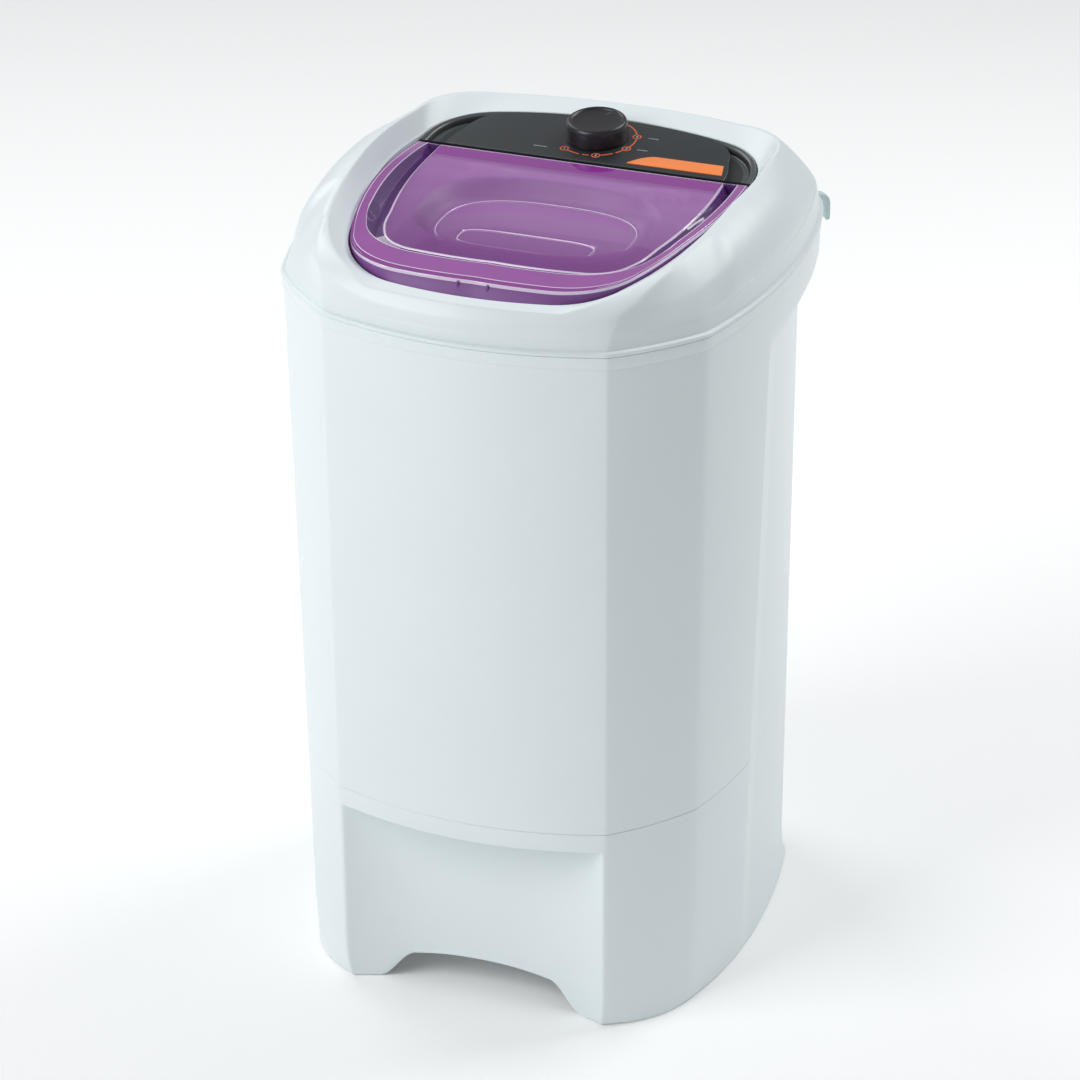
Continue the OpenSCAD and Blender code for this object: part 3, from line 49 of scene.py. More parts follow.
# ---- the body's plan and heights ----
HALF_WIDTH = 270.0
HALF_DEPTH = 290.0
EDGE_X = 158.0          # upright edges beside the bowed front
FRONT_BOW = 29.0
FRONT_MID = 105.0
SHOULDER_Y = 177.0      # the shoulder edges lie this far ahead of the middle
CHAMFER_BOW = 4.5
WIDEST_Y = 30.0
SIDE_RADIUS = 667.0
REAR_Y = 180.0
BACK_HALF = 166.0
REAR_CORNER_BOW = 17.0
WALL = 4.0
SEAM_Z = 834.0
BASE_H = 256.0
COLLAR_H = 14.0
BODY_OUT = 2.0
COLLAR_OUT = 1.0
TAPER = 17.0
EDGE_LEAN = 0.1
SHOULDER_LEAN = 0.6
SHOULDER_BACK = 1.2

# ---- the shallow recess down the sides and the back ----
RAMP_START = -42.0
RAMP_END = -10.0
RAMP_IN = 6.0
RECESS_IN = 21.5
BACK_IN = 27.5
RECESS_TOP = 792.0
RECESS_LOW = 750.0

# ---- the kick recess and the arch below it ----
KICK_H = 233.0
KICK_STRIP = 3.5
KICK_IN = 72.0
KICK_FILLET = 20.0
ARCH_HALF = 123.0
ARCH_FLAT = 80.0
ARCH_H = 41.0
ARCH_SAG = 6.0
ARCH_BLEND = 110.0
CURL_IN = 9.0
CURL_H = 52.0
BASE_GAP = 1.0
CURL_SHARE = (1.1, 0.4, 0.2, -0.4, -0.4, -0.4, -0.2)

# ---- the top cover and its opening ----
COVER_Z = 834.3
CREST_H = 83.5
CREST_FRONT_H = 41.5
CREST_REAR_H = 71.0
CREST_W = 217.0
CREST_T = 4.0
CREST_RADIUS = 996.0
SKIRT_H = 28.0
SKIRT_FRONT_H = 19.0
BEAD_OUT = 4.5
BEAD_H = 5.0
COVER_T = 3.0
OPEN_HALF = 199.0
OPEN_H = 59.0
OPEN_FRONT_H = 42.5
OPEN_FRONT = 257.0
OPEN_RADIUS = 695.0
OPEN_MID = 45.0
LIP_H = 12.0

# ---- the lid ----
LID_T = 2.5
LID_BACK = 100.0
LID_Z = 889.3
CHANNEL_H = 10.0
FLANGE_Z = 895.8
LID_FRONT_Z = 885.8
LID_SKIRT = 17.0
PLATEAU_X = 162.0
PLATEAU_FALL = 9.0
FLANGE_DROP = 6.5       # the flange and the hem lie this much lower at the rear
DISH = (108.0, 75.0)
DISH_Y = -43.0
DISH_H = 19.0
DISH_BLUNT = 0.75
PAD = (75.0, 21.0)
PAD_Y = -76.0
PAD_H = -1.5
PAD_BLUNT = 0.5

# ---- the panel, which slopes up to the rear ----
PANEL_Y = 109.0
PANEL_Z = 889.8
PANEL_TILT = math.radians(5.7)
FASCIA_HALF = 164.0
FASCIA_REAR = 215.0
FASCIA_STEP = 4.0
PANEL_T = 3.0
PANEL_WALL = 10.0
APRON_H = 32.0
APRON_HALF = 178.0
KNOB_AT = (-4.0, 168.0)
KNOB_R = 35.5
KNOB_H = 22.0
KNOB_DISH = 2.5
KNOB_GAP = 0.6
ARC_R = 44.5

# ---- the white deck under the lid, with the mouth of the tub ----
DECK_Z = 860.8
DECK_FOOT = 831.3
DECK_REAR = 108.7
MOUTH_Z = 854.8
MOUTH_H = 42.0
MOUTH_HALF = 155.0
MOUTH_FRONT = -197.0
MOUTH_REAR = 76.0

# ---- the hose hook ----
HOOK_AT = (225.0, 244.6, 832.0)
HOOK_TURN = math.radians(40)
HOOK_REACH = 21.0
HOOK_W = 12.0
HOOK_H = 36.0


# ======== outlines ========
def bow(a, b, side, rise, shares):
    """Points on a shallow bow from a to b: side is its bulge to the right, rise its lift."""
    d = b - a
    length = math.hypot(d[0], d[1])
    bulge = np.array([d[1] / length * side, -d[0] / length * side, rise])
    t = np.asarray(shares, float)[:, None]
    return a + d * t + 4 * t * (1 - t) * bulge


def corner(a, key, b, steps=5):
    """The points inside a rounded corner that leaves a towards key and comes in to b."""
    t = np.linspace(0, 1, steps + 2)[1:-1, None]
    return (1 - t) ** 2 * a + 2 * t * (1 - t) * key + t ** 2 * b


def half_outline(keys, bulge, rise, counts, soft):
    """The right half of an outline. Its corner j is rounded over soft[j] to each side."""
    keys = np.asarray(keys, float)
    spans = []
    for j, count in enumerate(counts):
        length = np.linalg.norm((keys[j + 1] - keys[j])[:2])
        shares = np.linspace(soft[j] / length, 1 - soft[j + 1] / length, count + 1)
        spans.append(bow(keys[j], keys[j + 1], bulge[j], rise[j], shares))
    parts = [spans[0]]
    for j in range(1, len(spans)):
        if soft[j]:
            parts += [corner(spans[j - 1][-1], keys[j], spans[j][0]), spans[j]]
        else:
            parts.append(spans[j][1:])
    return np.concatenate(parts)


def whole(half):
    """The closed outline from its right half. Points on the middle line aren't doubled."""
    left = half[::-1] * [-1, 1, 1]
    left = left[abs(left[:, 0]) > 1e-6]
    return np.concatenate([half, left])


def ease(t):
    """A smooth step: t between 0 and 1, level at both ends."""
    return t * t * (3 - 2 * t)


def side_x(y):
    """Half the width of the body at the seam."""
    return HALF_WIDTH - (y - WIDEST_Y) ** 2 / (2 * SIDE_RADIUS)


def front_y(x):
    return -HALF_DEPTH + FRONT_BOW * (x / EDGE_X) ** 2


def lean(z):
    return TAPER * max(0, SEAM_Z - z) / SEAM_Z


def edge_at(z, inset):
    """Where the upright edge beside the bowed front stands at height z."""
    return EDGE_X - inset * 0.4 - lean(z) * EDGE_LEAN


def sag(length, radius):
    return length ** 2 / (8 * radius)


def body_keys(z, inset, recess):
    """Key points of the body at height z, moved in by inset, with a share of the recess."""
    back = lean(z)
    i = inset + back
    return [
        [0, front_y(0) + i, z],
        [FRONT_MID, front_y(FRONT_MID) + i, z],
        [edge_at(z, inset), front_y(EDGE_X) + i, z],
        [side_x(-SHOULDER_Y) - inset - back * SHOULDER_LEAN,
         -SHOULDER_Y + inset * 0.5 + back * SHOULDER_BACK, z],
        [side_x(RAMP_START) - i, RAMP_START, z],
        [side_x(RAMP_END) - i - RAMP_IN * recess, RAMP_END, z],
        [side_x(REAR_Y) - (1 - recess) * i - recess * (inset + RECESS_IN),
         REAR_Y - recess * (inset + 13), z],
        [BACK_HALF - inset * 0.5 - recess * 11, HALF_DEPTH - 6 - inset - recess * (BACK_IN - 6), z],
        [0, HALF_DEPTH - inset - recess * BACK_IN, z]]


def body_bulge(recess):
    return [FRONT_BOW * (FRONT_MID / EDGE_X) ** 2 / 4,
            FRONT_BOW * ((EDGE_X - FRONT_MID) / EDGE_X) ** 2 / 4,
            CHAMFER_BOW,
            sag(RAMP_START + SHOULDER_Y, SIDE_RADIUS),
            sag(RAMP_END - RAMP_START, SIDE_RADIUS) * (1 - recess),
            sag(REAR_Y - RAMP_END, SIDE_RADIUS) * (1 - 0.3 * recess),
            REAR_CORNER_BOW,
            1.5 * (1 - recess)]


BODY_COUNTS = (12, 8, 10, 14, 6, 14, 10, 10)
BODY_SOFT = (0, 0, 2.2, 7, 2.5, 3, 12, 12, 0)
NO_RISE = (0,) * 8


def outline(keys, bulge, soft=BODY_SOFT, rise=NO_RISE, counts=BODY_COUNTS):
    """A closed outline, the same on the left as on the right."""
    return whole(half_outline(keys, bulge, rise, counts, soft))


def body_ring(z, inset, recess):
    return outline(body_keys(z, inset, recess), body_bulge(recess))


# ======== meshes ========
def loft(bm, rings):
    """Draws the first ring and pulls its edges through the others, one ring at a time."""
    ring = [bm.verts.new(p) for p in rings[0]]
    edges = [bm.edges.new((a, b)) for a, b in zip(ring, ring[1:] + ring[:1])]
    bands = []
    for points in rings[1:]:
        geom = bmesh.ops.extrude_edge_only(bm, edges=edges)["geom"]
        fresh = {g for g in geom if isinstance(g, bmesh.types.BMVert)}
        pulled = []
        for v in ring:
            pulled.append(next(e.other_vert(v) for e in v.link_edges if e.other_vert(v) in fresh))
        ring = pulled
        for v, p in zip(ring, points):
            v.co = p
        edges = [g for g in geom if isinstance(g, bmesh.types.BMEdge) and fresh.issuperset(g.verts)]
        bands.append([g for g in geom if isinstance(g, bmesh.types.BMFace)])
    return bands


def shell(rings):
    """A closed shell: rings run up the outside and down the inside, back to the first."""
    bm = bmesh.new()
    loft(bm, list(rings) + [rings[0]])
    bmesh.ops.remove_doubles(bm, verts=bm.verts, dist=0.001)
    return bm


def solid(rings):
    """A closed solid with a flat face at its first and its last ring."""
    bm = bmesh.new()
    loft(bm, rings)
    bmesh.ops.holes_fill(bm, edges=bm.edges, sides=0)
    return bm


def turned(profile, steps=96):
    """A solid of revolution about the Z axis, from a profile of (r, z)."""
    bm = bmesh.new()
    line = [bm.verts.new((r, 0, z)) for r, z in profile]
    edges = [bm.edges.new(pair) for pair in zip(line, line[1:])]
    bmesh.ops.spin(bm, geom=line + edges, cent=(0, 0, 0), axis=(0, 0, 1), angle=2 * math.pi,
                   steps=steps, use_merge=True)
    bmesh.ops.remove_doubles(bm, verts=bm.verts, dist=0.001)
    return bm


def round_edges(bm, edges, radius, segments):
    bmesh.ops.bevel(bm, geom=edges, offset=radius, segments=segments, profile=0.5,
                    affect="EDGES", material=-1, clamp_overlap=True)


def prism(points, step):
    """A flat outline pulled along step. Returns its mesh and the corners of its far end."""
    bm = bmesh.new()
    face = bm.faces.new([bm.verts.new(p) for p in points])
    grown = bmesh.ops.extrude_face_region(bm, geom=[face])["geom"]
    moved = [g for g in grown if isinstance(g, bmesh.types.BMVert)]
    bmesh.ops.translate(bm, vec=step, verts=moved)
    return bm, moved


def block(low, high, radius, segments=3):
    """A box between two corners with rounded edges."""
    bm = bmesh.new()
    bmesh.ops.create_cube(bm, size=1)
    low, high = Vector(low), Vector(high)
    bmesh.ops.scale(bm, vec=high - low, verts=bm.verts)
    bmesh.ops.translate(bm, vec=(low + high) / 2, verts=bm.verts)
    round_edges(bm, bm.edges[:], radius, segments)
    return bm


def arc_bar(centre, radius, width, height, start, sweep, steps):
    """A thin flat bar bent along an arc, in degrees."""
    bm = bmesh.new()
    r1, r2 = radius - width / 2, radius + width / 2
    a = math.radians(start)
    corners = [(r1, 0), (r2, 0), (r2, height), (r1, height)]
    line = [bm.verts.new((centre[0] + r * math.cos(a), centre[1] + r * math.sin(a), z))
            for r, z in corners]
    edges = [bm.edges.new(pair) for pair in zip(line, line[1:] + line[:1])]
    full = sweep >= 360
    bmesh.ops.spin(bm, geom=line + edges, cent=(centre[0], centre[1], 0), axis=(0, 0, 1),
                   angle=math.radians(sweep), steps=steps, use_merge=full)
    if not full:
        bmesh.ops.holes_fill(bm, edges=bm.edges, sides=0)
    return bm


def joined(meshes):
    """Several bmeshes as one."""
    together = bmesh.new()
    for bm in meshes:
        part = bpy.data.meshes.new("part")
        bm.to_mesh(part)
        bm.free()
        together.from_mesh(part)
        bpy.data.meshes.remove(part)
    return together


def new_object(name, bm, materials):
    """Makes a finished bmesh an object at the origin."""
    mesh = bpy.data.meshes.new(name)
    bm.to_mesh(mesh)
    bm.free()
    for m in materials:
        mesh.materials.append(m)
    obj = bpy.data.objects.new(name, mesh)
    scene.collection.objects.link(obj)
    return obj


ON_PANEL = (Matrix.Translation((0, PANEL_Y, PANEL_Z)) @ Matrix.Rotation(PANEL_TILT, 4, "X")
            @ Matrix.Translation((0, -PANEL_Y, 0)))


def piece(name, bm, materials, body, replaces=(), place=None, smooth=32, closed=True):
    """A visible piece from a bmesh in millimetres, riding on a CAD body."""
    if place:
        bmesh.ops.transform(bm, matrix=place, verts=bm.verts)
    if closed:
        bmesh.ops.recalc_face_normals(bm, faces=bm.faces)
    bmesh.ops.scale(bm, vec=(METRES, METRES, METRES), verts=bm.verts)
    obj = new_object(name, bm, materials)
    obj.data.shade_smooth()
    obj.data.set_sharp_from_angle(angle=math.radians(smooth))
    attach(obj, body)
    if replaces:
        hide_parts(*replaces)
    return obj


# ======== materials ========
def linear(hex_colour):
    """An sRGB hex colour as the linear RGBA that Blender reads."""
    parts = [int(hex_colour[i:i + 2], 16) / 255 for i in (1, 3, 5)]
    return [c / 12.92 if c <= 0.04045 else ((c + 0.055) / 1.055) ** 2.4 for c in parts] + [1]


def add_node(tree, kind, sockets=None, links=None, **settings):
    """Adds a node with its settings, its socket values and what is linked into it."""
    node = tree.nodes.new(kind)
    for name, value in settings.items():
        setattr(node, name, value)
    for name, value in (sockets or {}).items():
        node.inputs[name].default_value = value
    for name, source in (links or {}).items():
        tree.links.new(source, node.inputs[name])
    return node


def finish_of(name, colour, **sockets):
    """A new material with one shader. Returns the material, its tree and the shader."""
    material = bpy.data.materials.new(name)
    material.use_nodes = True
    tree = material.node_tree
    tree.nodes.clear()
    shader = add_node(tree, "ShaderNodeBsdfPrincipled",
                      sockets={"Base Color": linear(colour), **sockets})
    add_node(tree, "ShaderNodeOutputMaterial", links={"Surface": shader.outputs["BSDF"]})
    return material, tree, shader


def object_space(tree):
    return add_node(tree, "ShaderNodeTexCoord").outputs["Object"]


def grain(tree, shader, grain_mm, depth_mm, strength, detail=2.0):
    """The fine relief that a mould or a blast leaves, as wide as grain_mm."""
    noise = add_node(tree, "ShaderNodeTexNoise", links={"Vector": object_space(tree)},
                     sockets={"Scale": 1 / (grain_mm * METRES), "Detail": detail})
    bump = add_node(tree, "ShaderNodeBump", links={"Height": noise.outputs["Fac"]},
                    sockets={"Strength": strength, "Distance": depth_mm * METRES})
    tree.links.new(bump.outputs["Normal"], shader.inputs["Normal"])


def mottle(tree, shader, patch_mm, first, second, rough=None, stretch=(1, 1, 1)):
    """Slow changes of colour, and of roughness, across patches as wide as patch_mm."""
    mapping = add_node(tree, "ShaderNodeMapping", links={"Vector": object_space(tree)},
                       sockets={"Scale": stretch})
    noise = add_node(tree, "ShaderNodeTexNoise", links={"Vector": mapping.outputs["Vector"]},
                     sockets={"Scale": 1 / (patch_mm * METRES), "Detail": 3.0})
    ramp = add_node(tree, "ShaderNodeMix", data_type="RGBA")
    ramp.inputs[6].default_value = linear(first)
    ramp.inputs[7].default_value = linear(second)
    tree.links.new(noise.outputs["Fac"], ramp.inputs[0])
    tree.links.new(ramp.outputs[2], shader.inputs["Base Color"])
    if rough:
        spread = add_node(tree, "ShaderNodeMapRange", links={"Value": noise.outputs["Fac"]},
                          sockets={"To Min": rough[0], "To Max": rough[1]})
        tree.links.new(spread.outputs["Result"], shader.inputs["Roughness"])


def surface(name, colour, patches, rough, relief=None, stretch=(1, 1, 1), **sockets):
    """A mottled finish: patches is their width and their two colours, rough the range of the
    roughness, and relief the width, the depth and the strength of the grain."""
    material, tree, shader = finish_of(name, colour, **sockets)
    mottle(tree, shader, *patches, rough=rough, stretch=stretch)
    if relief:
        grain(tree, shader, *relief)
    return material


def deepen(tree, shader, colour, front_y, rear_y):
    """Turns the base colour towards another from rear_y to front_y: painted shade, darker towards the
    front.
    """
    split = add_node(tree, "ShaderNodeSeparateXYZ", links={"Vector": object_space(tree)})
    share = add_node(tree, "ShaderNodeMapRange", links={"Value": split.outputs["Y"]},
                     sockets={"From Min": front_y * METRES, "From Max": rear_y * METRES})
    blend = add_node(tree, "ShaderNodeMix", data_type="RGBA")
    blend.inputs[6].default_value = linear(colour)
    tree.links.new(share.outputs["Result"], blend.inputs[0])
    tree.links.new(shader.inputs["Base Color"].links[0].from_socket, blend.inputs[7])
    tree.links.new(blend.outputs[2], shader.inputs["Base Color"])


# The painted shade is full ahead of the first and gone behind the second.
DEEPEN_Y = (-150, 60)


def tinted_styrene(name, colour, darker, lighter, alpha, rough=0.08, coat=0.5, front=None):
    """Clear styrene, injection moulded and tinted purple: what lies under it shows through
    as a milky lavender. The colour is what it looks like at one depth of the moulding, and
    front is the darker colour it turns to where the lid slopes down over the tub: painted
    shade of the tub's hollow under the lid."""
    material, tree, shader = finish_of(name, colour, IOR=1.59, Roughness=rough, Alpha=alpha)
    shader.inputs["Coat Weight"].default_value = coat
    shader.inputs["Coat Roughness"].default_value = 0.04
    mottle(tree, shader, 60, darker, lighter)
    if front:
        deepen(tree, shader, front, *DEEPEN_Y)
    grain(tree, shader, 30.0, 0.04, 0.10, detail=0.0)
    return material


def pale_floor_paint():
    """The plain, pale studio floor."""
    material, tree, shader = finish_of("pale_floor_paint", "#ffffff", Roughness=0.9, IOR=1.3)
    shader.inputs["Emission Color"].default_value = linear("#ffffff")
    shader.inputs["Emission Strength"].default_value = 0.06
    return material


# Polypropylene, injection moulded in a polished tool: cool white, softly glossy, with a faint
# orange-peel relief and flow marks that only show as a slow change of gloss.
WHITE = surface("moulded_white_polypropylene", "#e3ebee", (160, "#e1eaed", "#e6eef0"), (0.30, 0.40),
                (5.0, 0.02, 0.12), IOR=1.49)
# Unpolished polypropylene of the inner parts: greyer and duller than the body.
GREY = surface("natural_grey_polypropylene", "#cdd4d6", (90, "#c8d0d3", "#d2d9db"), (0.42, 0.56),
               (2.5, 0.03, 0.2), IOR=1.49)
# Over the open middle of the lid; towards the front it is painted darker as shade of the tub's hollow
# below.
CLEAR = tinted_styrene("clear_tinted_styrene", "#cc92d8", "#c88dd4", "#d198dd", 0.50,
                       front="#9a4fa8")
# The rounded edges, painted lighter as a highlight where light gathers.
CLEAR_PAINTED_HIGHLIGHT = tinted_styrene("styrene_edge_painted_highlight", "#efdcf4", "#ead5f0", "#f4e4f8", 0.90, 0.12)
# One sheet of it, and the channel, where it is seen through more depth and is also painted darker as
# shade in its groove.
CLEAR_CHANNEL_SHADE = tinted_styrene("channel_tinted_styrene_painted_shade", "#63347e", "#5e2f79", "#693a84", 0.84)
# Along its own wall: the hem, left as moulded and not polished.
CLEAR_DARK = tinted_styrene("hem_tinted_styrene", "#8c55a0", "#87509b", "#925ba6", 0.80, 0.42, 0)
# Over the dark front of the panel: a near opaque dark tint for the charcoal front that lies in shade
# under the lid, painted shade in part. The same tint darkens the outer edge of the flange all round.
CLEAR_SHADE_STRIP = tinted_styrene("strip_tinted_styrene_painted_shade", "#8a3092", "#862c8e", "#8f3597", 0.96)
# The flange, whose top catches the light.
CLEAR_FLANGE = tinted_styrene("flange_tinted_styrene", "#a657ae", "#a152a9", "#ac5db4", 0.82)
# The sloping wall of the dish, slightly etched; towards the front it is painted darker as shade of
# the tub's hollow below.
CLEAR_WALL = tinted_styrene("wall_tinted_styrene", "#bd82ca", "#b87dc5", "#c388d0", 0.50, 0.5, 0,
                            front="#8f479d")
# Unpolished styrene of the hinge arms, cemented under the lid: paler and dull.
FROSTED = surface("frosted_styrene", "#c9a2d4", (20, "#c29ace", "#d0abda"), None, (2.0, 0.02, 0.2),
                  IOR=1.59, Roughness=0.35, Alpha=0.9)
# ABS, moulded in a spark-eroded tool: charcoal with a fine even grain, satin.
CHARCOAL = surface("textured_charcoal_abs", "#25292c", (60, "#23272a", "#282c2f"), (0.34, 0.44),
                   (1.2, 0.03, 0.35), IOR=1.53)
# The same ABS from a polished tool: the ridge beside the panel shines grey, and its lighter grey
# colour is a painted sheen.
CHARCOAL_GLOSS_PAINTED_SHEEN = surface("polished_charcoal_abs_painted_sheen", "#454b4e", (60, "#42484b", "#4b5154"),
                         (0.16, 0.26), (6.0, 0.02, 0.15), IOR=1.53)
# The same ABS down in the groove round the fascia, painted darker as shade.
CHARCOAL_GROOVE_SHADE = surface("charcoal_abs_painted_groove_shade", "#1f2224", (20, "#1b1d1f", "#25282a"), (0.45, 0.6),
                        (1.2, 0.03, 0.35), IOR=1.53)
# ABS knob, near black with a warm violet cast: satin sides that have been handled.
BLACK = surface("satin_black_abs", "#1e1d22", (18, "#1c1b20", "#222126"), (0.26, 0.40),
                (0.9, 0.02, 0.3), IOR=1.53)
# A polyester strip printed orange on its back: even colour, slightly glossy face.
ORANGE = surface("orange_painted_strip", "#fb8b45", (25, "#f98741", "#fd904b"), (0.32, 0.42),
                 (1.5, 0.01, 0.1), IOR=1.58)
# Pad-printed ink of the dial's arc: thin, matt, a little uneven at its edges.
ORANGE_INK = surface("orange_pad_print", "#e8683a", (3, "#e05c2e", "#ef7546"), (0.5, 0.65), IOR=1.5)
# Pale grey pad-printed ink of the numbers and the thin lines.
PALE_INK = surface("pale_pad_print", "#c9d2d4", (3, "#b9c3c6", "#d6dee0"), (0.5, 0.65), IOR=1.5)
# Unfilled polypropylene of the hose hook: pale, slightly blue, waxy.
HOOK = surface("pale_hook_polypropylene", "#cfe0e2", (15, "#c9dcdf", "#d7e6e8"), (0.38, 0.5),
               (1.5, 0.02, 0.2), IOR=1.49)
# Zinc-plated pressed steel: bright grey with fine drawing lines along its length.
STEEL = surface("zinc_plated_steel", "#b4b8bb", (6, "#a7acb0", "#bfc3c6"), (0.26, 0.42),
                (1.0, 0.01, 0.25), stretch=(1, 1, 0.15), Metallic=1.0)
# Cast aluminium: dull grey, pebbled by the mould.
CAST = surface("cast_aluminium", "#989da1", (12, "#8e9397", "#a3a8ac"), (0.42, 0.58),
               (1.8, 0.06, 0.45), Metallic=1.0)
# Dark grey enamel sprayed on the motor's steel shell, with slight orange peel.
MOTOR = surface("painted_motor_steel", "#565b60", (30, "#50555a", "#5d6267"), (0.30, 0.42),
                (3.0, 0.04, 0.3), IOR=1.5)
# Brass turned on a lathe: yellow, with fine rings from the tool.
BRASS = surface("turned_brass", "#c2a25c", (4, "#b8974f", "#cbac68"), (0.25, 0.38),
                (0.8, 0.01, 0.25), stretch=(1, 1, 6), Metallic=1.0)
# Moulded rubber: near black and dull, with a dusty bloom.
RUBBER = surface("black_rubber", "#242426", (9, "#202022", "#2c2c2e"), (0.62, 0.8),
                 (0.9, 0.04, 0.4), IOR=1.52)
# Soft elastomer of the pads that the lid rests on: pale grey, dull and a bit waxy.
SOFT_GREY = surface("grey_soft_elastomer", "#b9c0c3", (9, "#b2b9bc", "#c1c8cb"), (0.55, 0.7),
                    (1.0, 0.03, 0.3), IOR=1.5)


# ======== the upper body ========
def upper_body():
    """The moulded body from the base up to its collar, with the recess down its sides."""
    proud = -BODY_OUT - COLLAR_OUT
    collar = SEAM_Z - COLLAR_H
    rows = [(BASE_H + 0.3, -BODY_OUT + 0.3, 1),
            (BASE_H + 0.6, -BODY_OUT, 1),
            (BASE_H + 180, -BODY_OUT, 1),
            (BASE_H + 360, -BODY_OUT, 1)]
    for t in np.linspace(0, 1, 9):
        rows.append((RECESS_LOW + (RECESS_TOP - RECESS_LOW) * t, -BODY_OUT, 1 - ease(t)))
    rows += [(collar, -BODY_OUT, 0),
             (collar + 0.5, proud + 0.3, 0),
             (collar + 1.2, proud, 0),
             (SEAM_Z - 0.8, proud, 0),
             (SEAM_Z, proud + 0.8, 0),
             (SEAM_Z, proud + WALL, 0),
             (SEAM_Z - 6, proud + WALL, 0),
             (SEAM_Z - 6, WALL + 9, 0),
             (SEAM_Z - 11, WALL + 9, 0),
             (SEAM_Z - 20, WALL - BODY_OUT, 0),
             (RECESS_TOP, WALL - BODY_OUT, 0),
             (RECESS_LOW, WALL - BODY_OUT, 1),
             (BASE_H + 0.3, WALL - BODY_OUT, 1)]
    piece("upper_body", shell([body_ring(*row) for row in rows]), [WHITE], "machine",
          ["cabinet"])


# ======== the base ========
BASE_FRONT = 40         # points across half the front, crowded towards the edge
CROWDING = 1.35
KICK_Y = -HALF_DEPTH + KICK_IN
KICK_SOFT = 1.6


def arch_z(x):
    """Height of the lower edge of the front above the floor."""
    a = abs(x)
    t = (a - ARCH_FLAT) / (ARCH_HALF - ARCH_FLAT)
    if t <= 0:
        return ARCH_H - ARCH_SAG * (a / ARCH_FLAT) ** 2
    if t >= 1:
        return BASE_GAP
    return BASE_GAP + (ARCH_H - ARCH_SAG - BASE_GAP) * (1 + math.cos(math.pi * t)) / 2


def lifted(x, z):
    """The height z raised so that the lowest ring follows the arch."""
    if z >= ARCH_BLEND:
        return z
    low = arch_z(x)
    return low + (z - BASE_GAP) * (ARCH_BLEND - low) / (ARCH_BLEND - BASE_GAP)


def base_ring(z, inset, hollow, curl=0):
    """A ring of the base: hollow blends its front from the bow to the kick recess."""
    i = lean(z) + inset - BODY_OUT + curl * CURL_SHARE[0]
    edge = edge_at(z, i - lean(z)) - KICK_STRIP
    edge_y = front_y(edge) + i
    shares = 1 - (1 - np.arange(BASE_FRONT) / BASE_FRONT) ** CROWDING
    front = []
    for x in shares * (edge - KICK_SOFT):
        out = front_y(x) + i
        back = KICK_Y + inset + (edge_y - KICK_Y - inset) * (x / edge) ** 3
        front.append([x, out + (back - out) * hollow, lifted(x, z)])
    front = np.array(front)
    keys = [[edge, edge_y, z]]
    for share, j in zip(CURL_SHARE, range(2, 9)):
        keys.append(body_keys(z, inset - BODY_OUT + curl * share, 1)[j])
    bulge = body_bulge(1)
    spans = [0, bulge[2] + curl] + bulge[3:]
    soft = (KICK_SOFT, 2.4) + BODY_SOFT[3:]
    rest = half_outline(keys, spans, NO_RISE, (2,) + BODY_COUNTS[2:], soft)
    turn = corner(front[-1], np.array(keys[0], float), rest[0], 3)
    return whole(np.concatenate([front, turn, rest]))


def curl_at(t):
    """How far the lowest edge has curled in, from all of it at t = 0 to none at t = 1."""
    return CURL_IN * (1 - math.sqrt(1 - (1 - t) ** 2))


def base():
    """The base skirt: kick recess, arch and curled lower edge."""
    curl_steps = [s * s for s in np.linspace(0, 1, 10)]
    rows = [(BASE_GAP + t * CURL_H, 0, 1, curl_at(t)) for t in curl_steps]
    rows += [(z, 0, 1) for z in (90, 110, 150)]
    for a in np.linspace(0, math.pi / 2, 9):
        rows.append((KICK_H - KICK_FILLET * (1 - math.sin(a)), 0, 0.55 + 0.45 * math.cos(a)))
    rows += [(KICK_H + 0.15, 0, 0.05),
             (KICK_H + 0.6, 0, 0.012),
             (KICK_H + 1.8, 0, 0),
             (BASE_H - 0.4, 0, 0),
             (BASE_H, 0.4, 0),
             (BASE_H, WALL, 0),
             (KICK_H + WALL, WALL, 0),
             (KICK_H + WALL - 1, WALL, 0.6),
             (KICK_H - KICK_FILLET + WALL, WALL, 1),
             (ARCH_BLEND, WALL, 1)]
    rows += [(BASE_GAP + t * CURL_H, WALL, 1, curl_at(t)) for t in curl_steps[::-3]]
    piece("base_with_kick_recess", shell([base_ring(*row) for row in rows]), [WHITE], "machine",
          ["base_skirt"])


# ======== the top cover ========
CREST_SOFT = (0, 0, 16, 26, 2.5, 3, 12, 14, 0)
OPEN_SOFT = (0, 0, 18, 24, 2.5, 3, 10, 10, 0)
SHOULDER_STEPS = 16
CREST_FALL = 0.00043    # how fast the crest and the opening fall away from their top, per mm
OPEN_FALL = 0.00017
CLIMB_LENGTH = 70.0
SWELL_END = 60.0        # the shoulder's bulge fades from here to the rear
SWELL_FADE = 130.0


def side_line(y, half, middle, radius):
    """Half a width that is widest at the middle and bows with a radius."""
    return half - (y - middle) ** 2 / (2 * radius)


def crest_height(y):
    return COVER_Z + CREST_H - CREST_FALL * (y - WIDEST_Y) ** 2


def open_height(y):
    return COVER_Z + OPEN_H - OPEN_FALL * (y - OPEN_MID) ** 2


